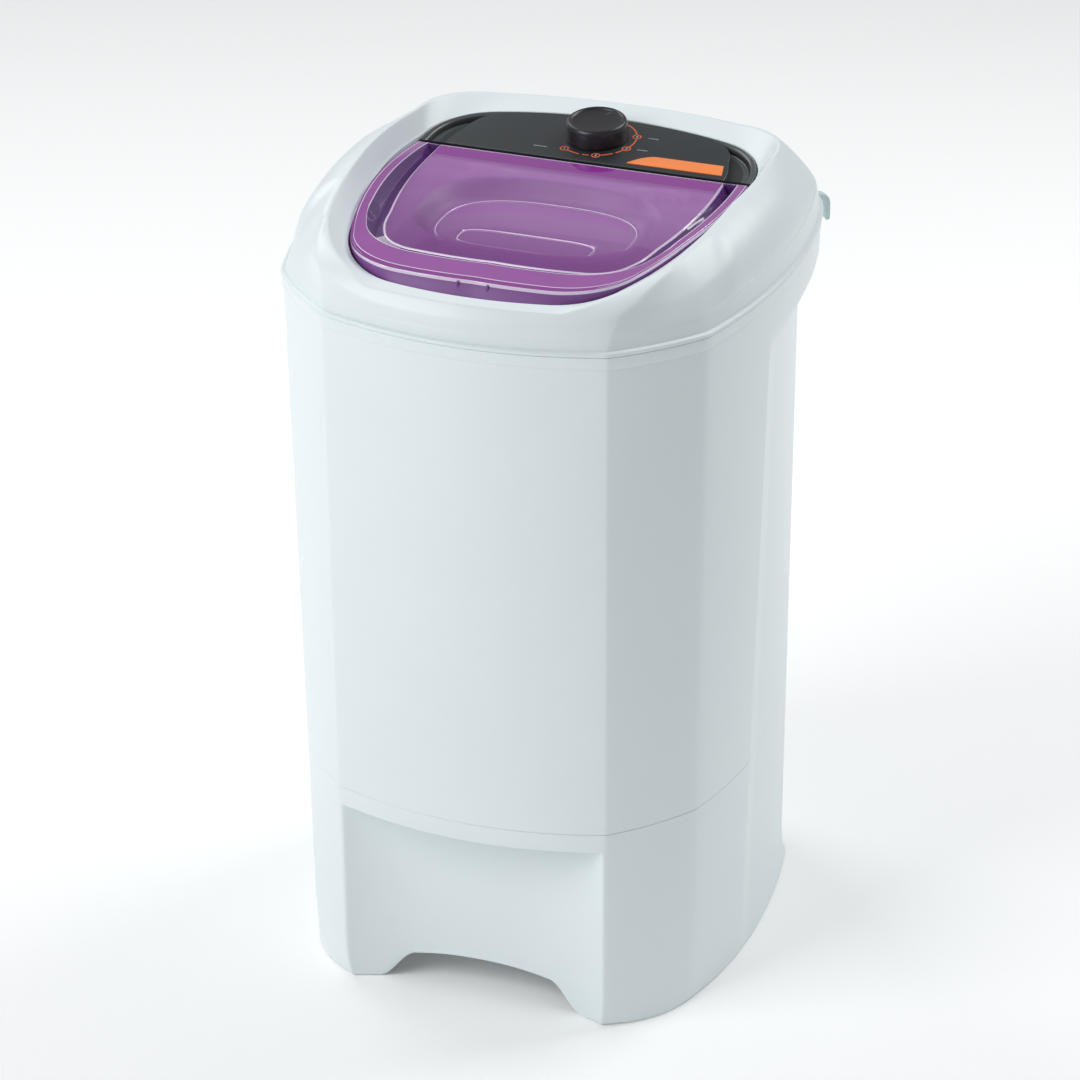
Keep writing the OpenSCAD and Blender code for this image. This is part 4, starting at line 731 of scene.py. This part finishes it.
def crest_ring(d):
    """The crest of the cover, moved in by d."""
    def at(y):
        return [side_line(y, CREST_W, WIDEST_Y, CREST_RADIUS) - d, y, crest_height(y)]
    keys = [[0, -HALF_DEPTH + 15 + d, COVER_Z + CREST_FRONT_H],
            [108 - d * 0.2, -HALF_DEPTH + 26 + d, COVER_Z + CREST_FRONT_H],
            [CREST_W - 33 - d, -193 + d * 0.4, crest_height(-182)],
            at(-118), at(RAMP_START), at(RAMP_END),
            [CREST_W - 5 - d, 140, COVER_Z + CREST_H - 5],
            [140 - d * 0.5, 238 - d, COVER_Z + CREST_REAR_H],
            [0, HALF_DEPTH - 36 - d, COVER_Z + CREST_REAR_H]]
    return outline(keys, (2, 9, 3, 1, 0, 4, 22, 5), CREST_SOFT, (0, 2, 0, 0, 0, 1, 2, 0))


def open_ring(d, drop):
    """The edge of the opening, moved in by d and lowered by drop."""
    def at(y):
        return [side_line(y, OPEN_HALF, OPEN_MID, OPEN_RADIUS) - d, y, open_height(y) - drop]
    z = COVER_Z - drop
    keys = [[0, -OPEN_FRONT + d, z + OPEN_FRONT_H],
            [92 - d * 0.3, -OPEN_FRONT + 11 + d, z + OPEN_FRONT_H],
            [OPEN_HALF - 41 - d * 0.8, -191 + d * 0.5, z + OPEN_H - 7.5],
            at(-135), at(RAMP_START), at(RAMP_END),
            [OPEN_HALF - 3 - d, 118, z + OPEN_H - 2],
            [150 - d * 0.6, 197 - d * 0.8, z + OPEN_H + 3],
            [0, 221 - d, z + OPEN_H + 6]]
    return outline(keys, (2.8, 7, 1, 1, 0, 6, 12, 6), OPEN_SOFT, (0, -3, 0, 0, 0, 0, 0, 1))


def climb(y):
    """The skirt line climbs behind the shoulder edge: 0 ahead of it, 1 along the side."""
    return ease(np.clip((y + SHOULDER_Y) / CLIMB_LENGTH, 0, 1))


def skirt_ring(d):
    """The top of the cover's upright skirt, moved in by d."""
    near = body_ring(COVER_Z, d + 1, 0)
    far = body_ring(COVER_Z, d + 4, 0)
    u = climb(near[:, 1])[:, None]
    rise = SKIRT_FRONT_H + (SKIRT_H - SKIRT_FRONT_H) * u
    return near + (far - near) * u + rise * [0, 0, 1]


def near_to(points, x, y, reach):
    """1 at (x, y), on both sides, and fading to 0 past its reach."""
    return np.exp(-(((abs(points[:, 0]) - x) ** 2 + (points[:, 1] - y) ** 2) / reach ** 2))


def swell(points):
    """How far the shoulder bulges, as a share of its height on the slope."""
    fade = 1 - ease(np.clip((points[:, 1] - SWELL_END) / SWELL_FADE, 0, 1))
    return (0.03 + 0.1 * near_to(points, EDGE_X, front_y(EDGE_X), 42)
            + 0.03 * near_to(points, side_x(-SHOULDER_Y), -SHOULDER_Y, 50)
            + 0.11 * climb(points[:, 1]) * fade)


def shoulder_ring(skirt, crest, t):
    """A ring between the skirt and the crest, bulged outwards and upwards."""
    flat = np.linalg.norm(skirt[:, :2], axis=1)
    out = np.column_stack([skirt[:, 0] / flat, skirt[:, 1] / flat, np.ones(len(flat))]) * 0.7
    slope = np.linalg.norm(crest - skirt, axis=1)
    return skirt + (crest - skirt) * t + (4 * t * (1 - t) * swell(skirt) * slope)[:, None] * out


def relaxed(rows, first, last, weight, rounds):
    """Rows smoothed up and down the surface, each column by its own weight."""
    rows = [r.copy() for r in rows]
    for _ in range(rounds):
        middle = [(rows[k - 1] + rows[k + 1]) / 2 for k in range(first, last + 1)]
        for k, m in zip(range(first, last + 1), middle):
            rows[k] += weight[:, None] * (m - rows[k])
    return rows


def top_cover():
    """The sloping cover: seam bead, skirt, shoulder, crest, inner slope and the lip."""
    skirt, crest = skirt_ring(0), crest_ring(0)
    half_bead = BEAD_H / 2
    rows = []
    for a in np.linspace(-math.pi / 2, math.pi / 2, 9):
        out = BEAD_OUT - half_bead * (1 - math.cos(a))
        rows.append(body_ring(COVER_Z + half_bead * (1 + math.sin(a)), -out, 0))
    rows.append(body_ring(COVER_Z + BEAD_H + 0.4, 0, 0))
    foot_row = len(rows) - 1
    rows += [rows[-1] + (skirt - rows[-1]) * t for t in (0.25, 0.5, 0.75)]
    skirt_row = len(rows)
    rows.append(skirt)
    rows += [shoulder_ring(skirt, crest, t) for t in np.linspace(0, 1, SHOULDER_STEPS)[1:-1]]
    crest_row = len(rows)
    inner, edge = crest_ring(CREST_T), open_ring(-2, 0)
    rows += [crest, inner]
    rows += [inner + (edge - inner) * t for t in (0.04, 0.1, 0.2, 0.4, 0.6, 0.8, 0.93)]
    rows += [edge, open_ring(-0.6, 0.3), open_ring(0, 1.2), open_ring(0, LIP_H)]
    front = 1 - climb(skirt[:, 1])
    rows = relaxed(rows, foot_row + 1, skirt_row + 5, 0.85 * front, 30)
    rows = relaxed(rows, foot_row + 2, skirt_row + 2, 0.12 + 0.3 * front, 2)
    rows = relaxed(rows, crest_row - 1, crest_row + 2, np.full(len(skirt), 0.25), 1)
    fold = np.column_stack([-skirt[:, 0], -skirt[:, 1], 0 * front])
    fold *= (0.15 + 0.75 * (1 - front[:, None])) / np.linalg.norm(fold, axis=1)[:, None]
    rows.insert(skirt_row + 1, rows[skirt_row] + fold + [0, 0, 0.25])
    down = np.array([0, 0, -COVER_T])
    skirt_in, crest_in = skirt_ring(COVER_T), crest_ring(COVER_T * 0.7) + down
    rows += [open_ring(-COVER_T, LIP_H),
             open_ring(-COVER_T - 1, COVER_T + 1),
             crest_ring(CREST_T) + down,
             crest_ring(COVER_T * 0.5) + down,
             shoulder_ring(skirt_in, crest_in, 0.75),
             shoulder_ring(skirt_in, crest_in, 0.35),
             skirt_in,
             body_ring(COVER_Z + BEAD_H, COVER_T, 0),
             body_ring(COVER_Z, COVER_T, 0)]
    piece("sloping_top_cover", shell(rows), [WHITE], "machine",
          ["top_cover"])


# ======== the lid ========
LID_COUNTS = (12, 12, 8, 20, 4, 20)
LID_SOFT = (0, 8, 14, 10, 0.8, 0, 0)

# The plan of each outline of the lid: its front edge, the end of its rounded corner (x and
# distance to the front), its half width at the shoulder and at the rear, and the rounding.
PLATEAU = (168.0, 140.0, 131.0, 150.5, 165.0, 9.5)
CHANNEL = (180.0, 152.0, 132.0, 162.0, 173.0, 12.0)
FLANGE = (188.5, 161.0, 131.0, 172.5, 181.5, 14.5)
RIM = (235.0, 163.0, 170.0, 184.5, 193.4, 16.0)
HEM = (242.0, 163.5, 172.0, 185.0, 194.0, 11.0)
LID_STRAIGHT = 90.0
LID_SHOULDER = 85.0


def lid_ring(plan, z_front, z_side, z_rear, rear, rear_z):
    """A ring of the lid, from its plan, three heights, the rear edge and its height."""
    front, corner_x, corner_y, shoulder, half, rounding = plan
    keys = [[0, -front, z_front],
            [LID_STRAIGHT, -front + 2.5, z_front],
            [corner_x, -corner_y, (z_front + z_side) / 2 + 1],
            [shoulder, -LID_SHOULDER, z_side],
            [half, rear, z_rear],
            [PLATEAU_X, rear, rear_z],
            [0, rear, rear_z]]
    return outline(keys, (2, rounding, 1.5, 7, 0, 0), LID_SOFT, (0, 0, 0, 2, 0, 0), LID_COUNTS)


def plateau_ring(plan, rear):
    """A ring that lies on the sloping plateau of the lid."""
    ring = lid_ring(plan, 0, 0, 0, rear, 0)
    ring[:, 2] = plateau_height(ring[:, 1])
    return ring


LID_POINTS = len(lid_ring(PLATEAU, 0, 0, 0, LID_BACK, 0)) // 2


def oval(half_x, half_y, y, z, blunt):
    """A blunt oval about (0, y), with as many points as a ring of the lid."""
    a = np.linspace(-math.pi / 2, math.pi / 2, LID_POINTS + 1)
    blunt_x = np.sign(np.cos(a)) * abs(np.cos(a)) ** blunt
    blunt_y = np.sign(np.sin(a)) * abs(np.sin(a)) ** blunt
    blunt_x[[0, -1]] = 0
    return whole(np.column_stack([half_x * blunt_x, y + half_y * blunt_y, np.full(len(a), z)]))


def plateau_height(y):
    """Height of the plateau, which falls from the rear edge to its front edge."""
    return LID_Z - PLATEAU_FALL * (LID_BACK - y) / (LID_BACK + PLATEAU[0])


def dish_ring(grow, share):
    """A ring of the dish wall: share is 0 at the plateau and 1 at the level floor."""
    ring = oval(DISH[0] * grow, DISH[1] * grow, DISH_Y, 0, DISH_BLUNT)
    top = plateau_height(ring[:, 1])
    ring[:, 2] = top + (plateau_height(DISH_Y) - DISH_H - top) * share
    return ring


HIGHLIGHT_TINT, CHANNEL_SHADE_TINT, HEM_TINT, SHADE_STRIP_TINT, FLANGE_TINT, WALL_TINT = 1, 2, 3, 4, 5, 6
STRIP_DEEP = 24.0
THINNING = 0.25         # the wall's share of LID_T that is lost per mm at the rear edge
THINNEST = 0.15
DISH_SPREAD = 0.26


def lid_shell():
    """The clear lid: a raised middle with a dish, a channel round it, a flange and a hem."""
    floor = plateau_height(DISH_Y) - DISH_H
    plate = plateau_ring(PLATEAU, LID_BACK)
    foot = lid_ring(CHANNEL, LID_Z - 14, LID_Z - CHANNEL_H, LID_Z - CHANNEL_H - 4,
                    LID_BACK + 0.8, LID_Z - 0.2)
    inner = lid_ring(FLANGE, LID_FRONT_Z + 0.5, FLANGE_Z - 2, FLANGE_Z - FLANGE_DROP,
                     LID_BACK + 1.6, LID_Z - 0.5)
    outer = lid_ring(RIM, LID_FRONT_Z, FLANGE_Z, FLANGE_Z - FLANGE_DROP, LID_BACK + 2.3, LID_Z - 0.9)
    hem = lid_ring(HEM, LID_FRONT_Z - LID_SKIRT, FLANGE_Z - LID_SKIRT,
                   FLANGE_Z - FLANGE_DROP - LID_SKIRT, LID_BACK + 3, LID_Z - 1.4)
    rows, tints = [], []

    def add(ring, tint=0):
        """Adds a ring, and the tint of the band that leads from it to the next ring."""
        rows.append(ring)
        tints.append(tint)

    def across(first, second, shares, tint):
        """Adds the rings that lie at some shares of the way from first to second."""
        for t in shares:
            add(first + (second - first) * t, tint)

    def edge_here(first, second, tint, height, width):
        """Adds a low rounded bead just outside the ring first, on the way to second; the bead is
        painted lighter as a highlight.
        """
        step = second - first
        length = np.maximum(np.linalg.norm(step, axis=1), 1e-6)[:, None]
        along = step / length * np.minimum(width, length * 0.4)
        up = np.array([0, 0, height])
        add(first, HIGHLIGHT_TINT)
        add(first + along * 0.25 + up, HIGHLIGHT_TINT)
        add(first + along * 0.75 + up, HIGHLIGHT_TINT)
        add(first + along, tint)

    pad_top = oval(PAD[0], PAD[1], PAD_Y, floor + PAD_H, PAD_BLUNT)
    pad_foot = oval(PAD[0] + 2.5, PAD[1] + 2.5, PAD_Y, floor, PAD_BLUNT)
    add(oval(PAD[0] * 0.3, PAD[1] * 0.3, PAD_Y, floor + PAD_H, PAD_BLUNT))
    edge_here(pad_top, pad_foot, 0, 0.3, 1.4)
    add(pad_foot)
    edge_here(dish_ring(1, 1), dish_ring(1.04, 0.9), 0, 0.15, 0.8)
    for t in np.linspace(0.1, 1, 14):
        add(dish_ring(1 + DISH_SPREAD * t, (1 + math.cos(math.pi * t)) / 2), WALL_TINT)
    add(plateau_ring([v - 1.3 for v in PLATEAU], LID_BACK - STRIP_DEEP), SHADE_STRIP_TINT)
    # The channel round the plateau takes the darker tint: painted shade in its groove.
    edge_here(plate, foot, CHANNEL_SHADE_TINT, 0.6, 2.8)
    across(plate, foot, (0.5, 0.85), CHANNEL_SHADE_TINT)
    across(foot, inner, (0, 0.2, 0.8), CHANNEL_SHADE_TINT)
    edge_here(inner, outer, FLANGE_TINT, 0.2, 1.2)
    across(inner, outer, (0.35, 0.65), FLANGE_TINT)
    edge_here(inner + (outer - inner) * 0.77, outer, SHADE_STRIP_TINT, 0.25, 1.6)
    across(inner, outer, (0.9,), SHADE_STRIP_TINT)
    edge_here(outer, hem, HEM_TINT, 0.6, 3.6)
    across(outer, hem, (0.4, 0.7), HEM_TINT)
    rows.append(hem)
    bm = bmesh.new()
    for row, (tint, band) in enumerate(zip(tints, loft(bm, rows))):
        for face in band:
            # At the rear the plateau strip takes the painted shade over the panel front; ahead of it
            # the strip stays plain. The flange's outer band keeps the dark tint all round.
            rear = face.calc_center_median().y > LID_BACK - STRIP_DEEP
            plain = 0 if row < tints.index(CHANNEL_SHADE_TINT) else tint
            face.material_index = plain if tint == SHADE_STRIP_TINT and not rear else tint
    middle = [e for e in bm.edges if e.is_boundary and all(v.co.z < floor + 4 for v in e.verts)]
    bmesh.ops.contextual_create(bm, geom=middle)
    bmesh.ops.recalc_face_normals(bm, faces=bm.faces)
    bm.faces.ensure_lookup_table()
    if sum(f.normal.z * f.calc_area() for f in bm.faces) < 0:
        bmesh.ops.reverse_faces(bm, faces=bm.faces)
    tints = [CLEAR, CLEAR_PAINTED_HIGHLIGHT, CLEAR_CHANNEL_SHADE, CLEAR_DARK, CLEAR_SHADE_STRIP, CLEAR_FLANGE, CLEAR_WALL]
    lid = piece("clear_lid_shell", bm, tints, "lid_body", ["lid"],
                closed=False, smooth=28)
    # The wall thins to a wedge along the rear edge, which clears the brackets of the open lid.
    thin = lid.vertex_groups.new(name="thin_rear")
    for vertex in lid.data.vertices:
        share = 1 - THINNING * (vertex.co.y / METRES - LID_BACK + 1)
        thin.add([vertex.index], min(1, max(THINNEST, share)), "REPLACE")
    wall = lid.modifiers.new("wall", "SOLIDIFY")
    wall.thickness = LID_T * METRES
    wall.offset = -1
    wall.vertex_group = thin.name


RIBS_X = (-15, 18)
RIB_T = 2.4
RIB_FOOT = (-239.2, 869.5)
RIB_TOP = (-236.4, 884.5)


def lid_ribs():
    """Two upright ribs inside the front hem of the lid."""
    ribs = [block((x - RIB_T / 2, *RIB_FOOT), (x + RIB_T / 2, *RIB_TOP), 0.5) for x in RIBS_X]
    piece("lid_hem_ribs", joined(ribs), [CLEAR_DARK], "lid_body")


# ======== the white deck under the lid ========
def deck_ring(d, z):
    def at(y):
        return [side_line(y, OPEN_HALF + 1, OPEN_MID, OPEN_RADIUS) - d, y, z]
    keys = [[0, -OPEN_FRONT - 1 + d, z],
            [92 - d * 0.3, -OPEN_FRONT + 10 + d, z],
            [OPEN_HALF - 40 - d * 0.8, -191 + d * 0.5, z],
            at(-135), at(-90), at(-45),
            [OPEN_HALF - d, 60, z],
            [OPEN_HALF - 4 - d, DECK_REAR - d, z],
            [0, DECK_REAR - d, z]]
    return outline(keys, (2.8, 7, 1, 1, 0, 2, 0, 0), (0, 0, 12, 12, 1, 1, 1, 1, 0))


def mouth_ring(d, z):
    keys = [[0, MOUTH_FRONT + d, z],
            [60, MOUTH_FRONT + 7 + d, z],
            [MOUTH_HALF - 37 - d * 0.7, MOUTH_FRONT + 42 + d * 0.7, z],
            [MOUTH_HALF - 7 - d, MOUTH_FRONT + 97, z],
            [MOUTH_HALF - d, -60, z],
            [MOUTH_HALF - d, -20, z],
            [MOUTH_HALF - 19 - d * 0.8, MOUTH_REAR - 38 - d * 0.6, z],
            [80, MOUTH_REAR - 3 - d, z],
            [0, MOUTH_REAR - d, z]]
    return outline(keys, (1, 5, 6, 1, 0, 4, 7, 0.5), (0, 0, 14, 12, 1, 1, 12, 12, 0))


def deck_with_mouth():
    """The splash deck: a tray round the mouth whose inner edge rolls down into the tub."""
    rows = [deck_ring(0, DECK_FOOT), deck_ring(0, DECK_Z - 1), deck_ring(1, DECK_Z),
            mouth_ring(-22, DECK_Z - 1.5), mouth_ring(-12, MOUTH_Z + 2.4)]
    for a in np.linspace(0, math.pi / 2, 6):
        rows.append(mouth_ring(-6 * (1 - math.sin(a)), MOUTH_Z + 1.5 - 6 * (1 - math.cos(a))))
    rows += [mouth_ring(0, MOUTH_Z - MOUTH_H), mouth_ring(-3, MOUTH_Z - MOUTH_H),
             mouth_ring(-3, MOUTH_Z - 6), mouth_ring(-10, MOUTH_Z - 1.5),
             deck_ring(3, DECK_Z - 3), deck_ring(3, DECK_FOOT)]
    piece("splash_deck", shell(rows), [WHITE], "machine",
          ["splash_collar"])


# ======== the control panel ========
PANEL_COUNTS = (8, 18, 18)
PANEL_LOW = -FASCIA_STEP - PANEL_T


def panel_half(keys, bulge, soft, z):
    keys = [[x, y, z] for x, y in keys]
    return outline(keys, bulge, soft, NO_RISE, PANEL_COUNTS)


def wing_ring(d, z):
    """The outer outline of the panel moulding, moved in by d; its front edge stays."""
    return panel_half([(OPEN_HALF - 3.2 - d, PANEL_Y), (OPEN_HALF - 4.2 - d, 122),
                       (148.1 - d * 0.6, 195 - d * 0.8), (0, 218.6 - d)], (0, 11.6, 6),
                      (0, 5, 12, 0), z)


def fascia_ring(d, z):
    """The outline of the raised fascia, moved in by d."""
    return panel_half([(FASCIA_HALF - d, PANEL_Y + d * 0.6), (FASCIA_HALF - 8 - d, 150),
                       (FASCIA_HALF - 34 - d * 0.8, 197 - d * 0.6), (0, FASCIA_REAR - d)],
                      (2, 6, 6), (0, 10, 14, 0), z)


def panel_moulding():
    """The charcoal moulding behind the lid: side ridges, the grooves round the fascia and the apron
    under its front.
    """
    low, ridge_top, groove = PANEL_LOW, -0.6, PANEL_LOW - 1.5
    rows = ((0, low - PANEL_WALL), (0, ridge_top - 3.0), (0.7, ridge_top - 1.0),
            (2.2, ridge_top), (6.4, ridge_top - 0.5), (7.8, ridge_top - 1.4),
            (9.0, ridge_top - 3.4), (10.0, groove + 0.8), (11.6, groove + 0.2), (16.5, groove))
    wings = solid([wing_ring(*row) for row in rows])
    # Faces down in the groove, and the ends, take the painted groove shade; the ridge takes the grey
    # of the painted sheen.
    for face in wings.faces:
        x, y, z = face.calc_center_median()
        inside = abs(face.normal.z) < 0.999 and z > low - 1
        face.material_index = 1 if z < ridge_top - 1.6 and inside or len(face.verts) > 4 else 0
    apron = block((-APRON_HALF, PANEL_Y, PANEL_Z - APRON_H),
                  (APRON_HALF, PANEL_Y + PANEL_T, PANEL_Z - 6), 0.6)
    bmesh.ops.transform(wings, matrix=ON_PANEL, verts=wings.verts)
    piece("panel_moulding", joined([wings, apron]), [CHARCOAL_GLOSS_PAINTED_SHEEN, CHARCOAL_GROOVE_SHADE],
          "machine", ["control_panel"])


def panel_fascia():
    """The raised plate of the panel, with a rounded edge."""
    rows = ((0, PANEL_LOW + 1.3), (0, -2.2), (0.4, -0.9), (1.2, -0.2), (2.6, 0))
    piece("panel_fascia", solid([fascia_ring(*row) for row in rows]), [CHARCOAL], "machine",
          place=ON_PANEL, smooth=25)


STRIP_LOW = PANEL_Y + 8
STRIP_H = 22
STRIP_LEFT = 48
STRIP_RIGHT = (158.5, 154)
STRIP_T = 0.8


def orange_strip():
    """The plain orange strip at the right, its left end cut to a curve."""
    points = [(STRIP_RIGHT[0], STRIP_LOW, 0), (STRIP_RIGHT[1], STRIP_LOW + STRIP_H, 0)]
    for t in np.linspace(0, 1, 13):
        points.append((STRIP_LEFT + 30 * (1 - t), STRIP_LOW + STRIP_H * (1 - t * t), 0))
    bm, top = prism(points, (0, 0, STRIP_T))
    round_edges(bm, [e for e in bm.edges if all(v in top for v in e.verts)], 0.25, 2)
    piece("orange_strip", bm, [ORANGE], "machine", ["accent_strip"],
          place=ON_PANEL)


# ======== the dial ========
PRINT_H = 0.12
ARC_LINE = 1.8
RING_R = 4.5
RING_LINE = 1.5
DIGIT_H = 6.5
DIAL_MARKS = (-126, -73, -24, 16.5)
ARC_STRETCHES = ((-120, 22), (-93, 10), (-66, 18), (-44, 12), (-17, 27), (23.5, 36))
LEADERS = ((52, 64, 181), (49, 61, 151), (-66, -50, 130))
LEADER_W = 0.6


def on_arc(angle):
    """The point of the dial's arc at an angle in degrees."""
    a = math.radians(angle)
    return KNOB_AT[0] + ARC_R * math.cos(a), KNOB_AT[1] + ARC_R * math.sin(a)


def dial_print():
    """The programme arc round the knob, with a ring at each of its four places."""
    bars = [arc_bar(KNOB_AT, ARC_R, ARC_LINE, PRINT_H, start, sweep, 24)
            for start, sweep in ARC_STRETCHES]
    bars += [arc_bar(on_arc(angle), RING_R, RING_LINE, PRINT_H, 0, 360, 32)
             for angle in DIAL_MARKS]
    piece("dial_arc_print", joined(bars), [ORANGE_INK], "machine",
          place=ON_PANEL, smooth=25)


def dial_numbers():
    """Plain numbers 1 to 4 in the rings of the dial, and short leader lines beside them."""
    meshes = []
    for number, angle in enumerate(DIAL_MARKS, 1):
        curve = bpy.data.curves.new("digit", "FONT")
        curve.body = str(number)
        curve.size = DIGIT_H
        curve.align_x = "CENTER"
        curve.align_y = "CENTER"
        curve.extrude = PRINT_H / 2
        holder = bpy.data.objects.new("digit", curve)
        mesh = bpy.data.meshes.new_from_object(holder)
        bpy.data.objects.remove(holder)
        bm = bmesh.new()
        bm.from_mesh(mesh)
        bpy.data.meshes.remove(mesh)
        bmesh.ops.translate(bm, verts=bm.verts, vec=(*on_arc(angle), PRINT_H / 2))
        meshes.append(bm)
    for left, right, y in LEADERS:
        meshes.append(block((left, y - LEADER_W / 2, 0), (right, y + LEADER_W / 2, PRINT_H), 0.02, 1))
    piece("dial_number_print", joined(meshes), [PALE_INK], "machine",
          place=ON_PANEL, smooth=25)


POINTER_TURN = math.radians(-18)


def dial_knob():
    """The knob: a turned cup with a rolled rim, a dished top and a pointer notch."""
    r, h = KNOB_R, KNOB_H
    profile = [(3.1, 4), (r - 6, 4), (r - 4.2, 0.2), (r - 3.8, 0), (r - 1.2, 0), (r - 0.5, 0.3),
               (r - 0.3, 1), (r - 0.5, 6), (r - 0.9, h - 6), (r - 1.5, h - 3.4), (r - 2.2, h - 1.9),
               (r - 3.1, h - 0.7), (r - 4.2, h - 0.1), (r - 5.2, h), (r - 6.2, h - 0.3),
               (r - 7.0, h - 1.2), (r - 7.8, h - 2.1), (r - 9.5, h - KNOB_DISH),
               (r * 0.4, h - KNOB_DISH - 0.3), (0, h - KNOB_DISH - 0.4)]
    bm = turned(profile)
    bmesh.ops.holes_fill(bm, edges=[e for e in bm.edges if e.is_boundary], sides=0)
    place = ON_PANEL @ Matrix.Translation((KNOB_AT[0], KNOB_AT[1], KNOB_GAP))
    piece("dial_knob", bm, [BLACK], "dial", ["knob"], place=place, smooth=35)
    mark = block((-0.8, 18, h - KNOB_DISH - 0.5), (0.8, r - 6.8, h - KNOB_DISH + 0.35), 0.3)
    turn = Matrix.Rotation(POINTER_TURN, 4, "Z")
    # The pointer takes the same lighter grey of painted sheen.
    piece("knob_pointer", mark, [CHARCOAL_GLOSS_PAINTED_SHEEN], "dial", place=place @ turn)


# ======== the hose hook ========
def hose_hook():
    """A flat hook that holds the drain hose against the rear corner."""
    o, t = HOOK_REACH, 0.3
    points = [(t, 0), (o - 7, -2.6), (o - 3, -5.4), (o - 0.8, -9.5), (o, -15), (o, -32),
              (o - 1.5, -34), (o - 4, -34), (o - 5, -32), (o - 5, -17), (o - 6, -12.5),
              (o - 9, -9.8), (t + 3, -7), (t + 3, -HOOK_H), (t, -HOOK_H)]
    bm, _ = prism([(x, HOOK_W / 2, z) for x, z in points], (0, -HOOK_W, 0))
    rims = [e for e in bm.edges if abs(e.verts[0].co.y - e.verts[1].co.y) < 0.01]
    round_edges(bm, rims, 0.9, 3)
    place = Matrix.Translation(HOOK_AT) @ Matrix.Rotation(HOOK_TURN, 4, "Z")
    piece("drain_hose_hook", bm, [HOOK], "machine", ["hose_hook"],
          place=place, smooth=30)


upper_body()
base()
top_cover()
lid_shell()
lid_ribs()
deck_with_mouth()
panel_moulding()
panel_fascia()
orange_strip()
dial_print()
dial_numbers()
dial_knob()
hose_hook()

# ======== finishes of the CAD nodes that stay ========
NODE_FINISHES = {
    WHITE: ["pulsator", "filter_holder", "filter_frame", "hinge_brackets"],
    GREY: ["base_pan", "wash_tub", "programme_switch", "support_posts", "run_capacitor",
           "drain_pipe", "drain_spigot", "rear_cover", "filter_pocket"],
    CLEAR: ["pulsator_cap"],
    FROSTED: ["lid_hinge_arms"],
    STEEL: ["drive_shaft", "motor_shaft", "pulsator_screw", "pulley_nut", "motor_bolts",
            "support_plate", "capacitor_clamp", "housing_screws", "tub_screws",
            "collar_screws", "hinge_screws", "rear_cover_screws", "hook_screws", "base_screws"],
    CAST: ["bearing_housing", "driven_pulley", "motor_pulley"],
    MOTOR: ["motor"],
    BRASS: ["knob_spindle", "switch_nut", "shaft_bushes"],
    RUBBER: ["foot_pads", "shaft_seal", "drive_belt", "drain_gasket", "cable_gland"],
    SOFT_GREY: ["lid_rest_pads"],
}
for finish, names in NODE_FINISHES.items():
    for name in names:
        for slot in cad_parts[name].material_slots:
            slot.material = finish


# ======== floor, light and camera, in metres ========
FLOOR_HALF = 12
SOFTBOX_SIZE = 2.2
MIDDLE = Vector((0, 0, 0.5))


def floor():
    bm = bmesh.new()
    bmesh.ops.create_grid(bm, x_segments=1, y_segments=1, size=FLOOR_HALF)
    new_object("studio_floor", bm, [pale_floor_paint()])


def soft_light(name, at, power):
    """A square white softbox at a point, turned to the middle of the machine."""
    light = bpy.data.lights.new(name, "AREA")
    light.shape = "SQUARE"
    light.size = SOFTBOX_SIZE
    light.energy = power
    obj = bpy.data.objects.new(name, light)
    obj.location = at
    obj.rotation_euler = (MIDDLE - Vector(at)).to_track_quat("-Z", "Y").to_euler()
    scene.collection.objects.link(obj)


floor()
soft_light("key_softbox", (-2.02, -2.58, 2.79), 77)
soft_light("back_right_softbox", (1.82, 2.17, 3.33), 72)
soft_light("back_left_softbox", (-2.65, 1.53, 3.07), 37)

world = bpy.data.worlds.new("studio")
scene.world = world
world.use_nodes = True
sky = world.node_tree.nodes["Background"]
sky.inputs["Color"].default_value = linear("#f6fafc")
sky.inputs["Strength"].default_value = 0.35
scene.view_settings.view_transform = "Standard"

AZIMUTH = math.radians(20.08)
ELEVATION = math.radians(26.98)
DISTANCE = 4.7965
AIM = Vector((-0.02406, 0.03604, 0.4494))
LENS_MM = 140
SENSOR_MM = 36
away = Vector((math.sin(AZIMUTH) * math.cos(ELEVATION), -math.cos(AZIMUTH) * math.cos(ELEVATION),
               math.sin(ELEVATION)))
lens = bpy.data.cameras.new("photo_camera")
lens.lens = LENS_MM
lens.sensor_width = SENSOR_MM
camera = bpy.data.objects.new("photo_camera", lens)
camera.location = AIM + away * DISTANCE
camera.rotation_euler = (-away).to_track_quat("-Z", "Y").to_euler()
scene.collection.objects.link(camera)
scene.camera = camera
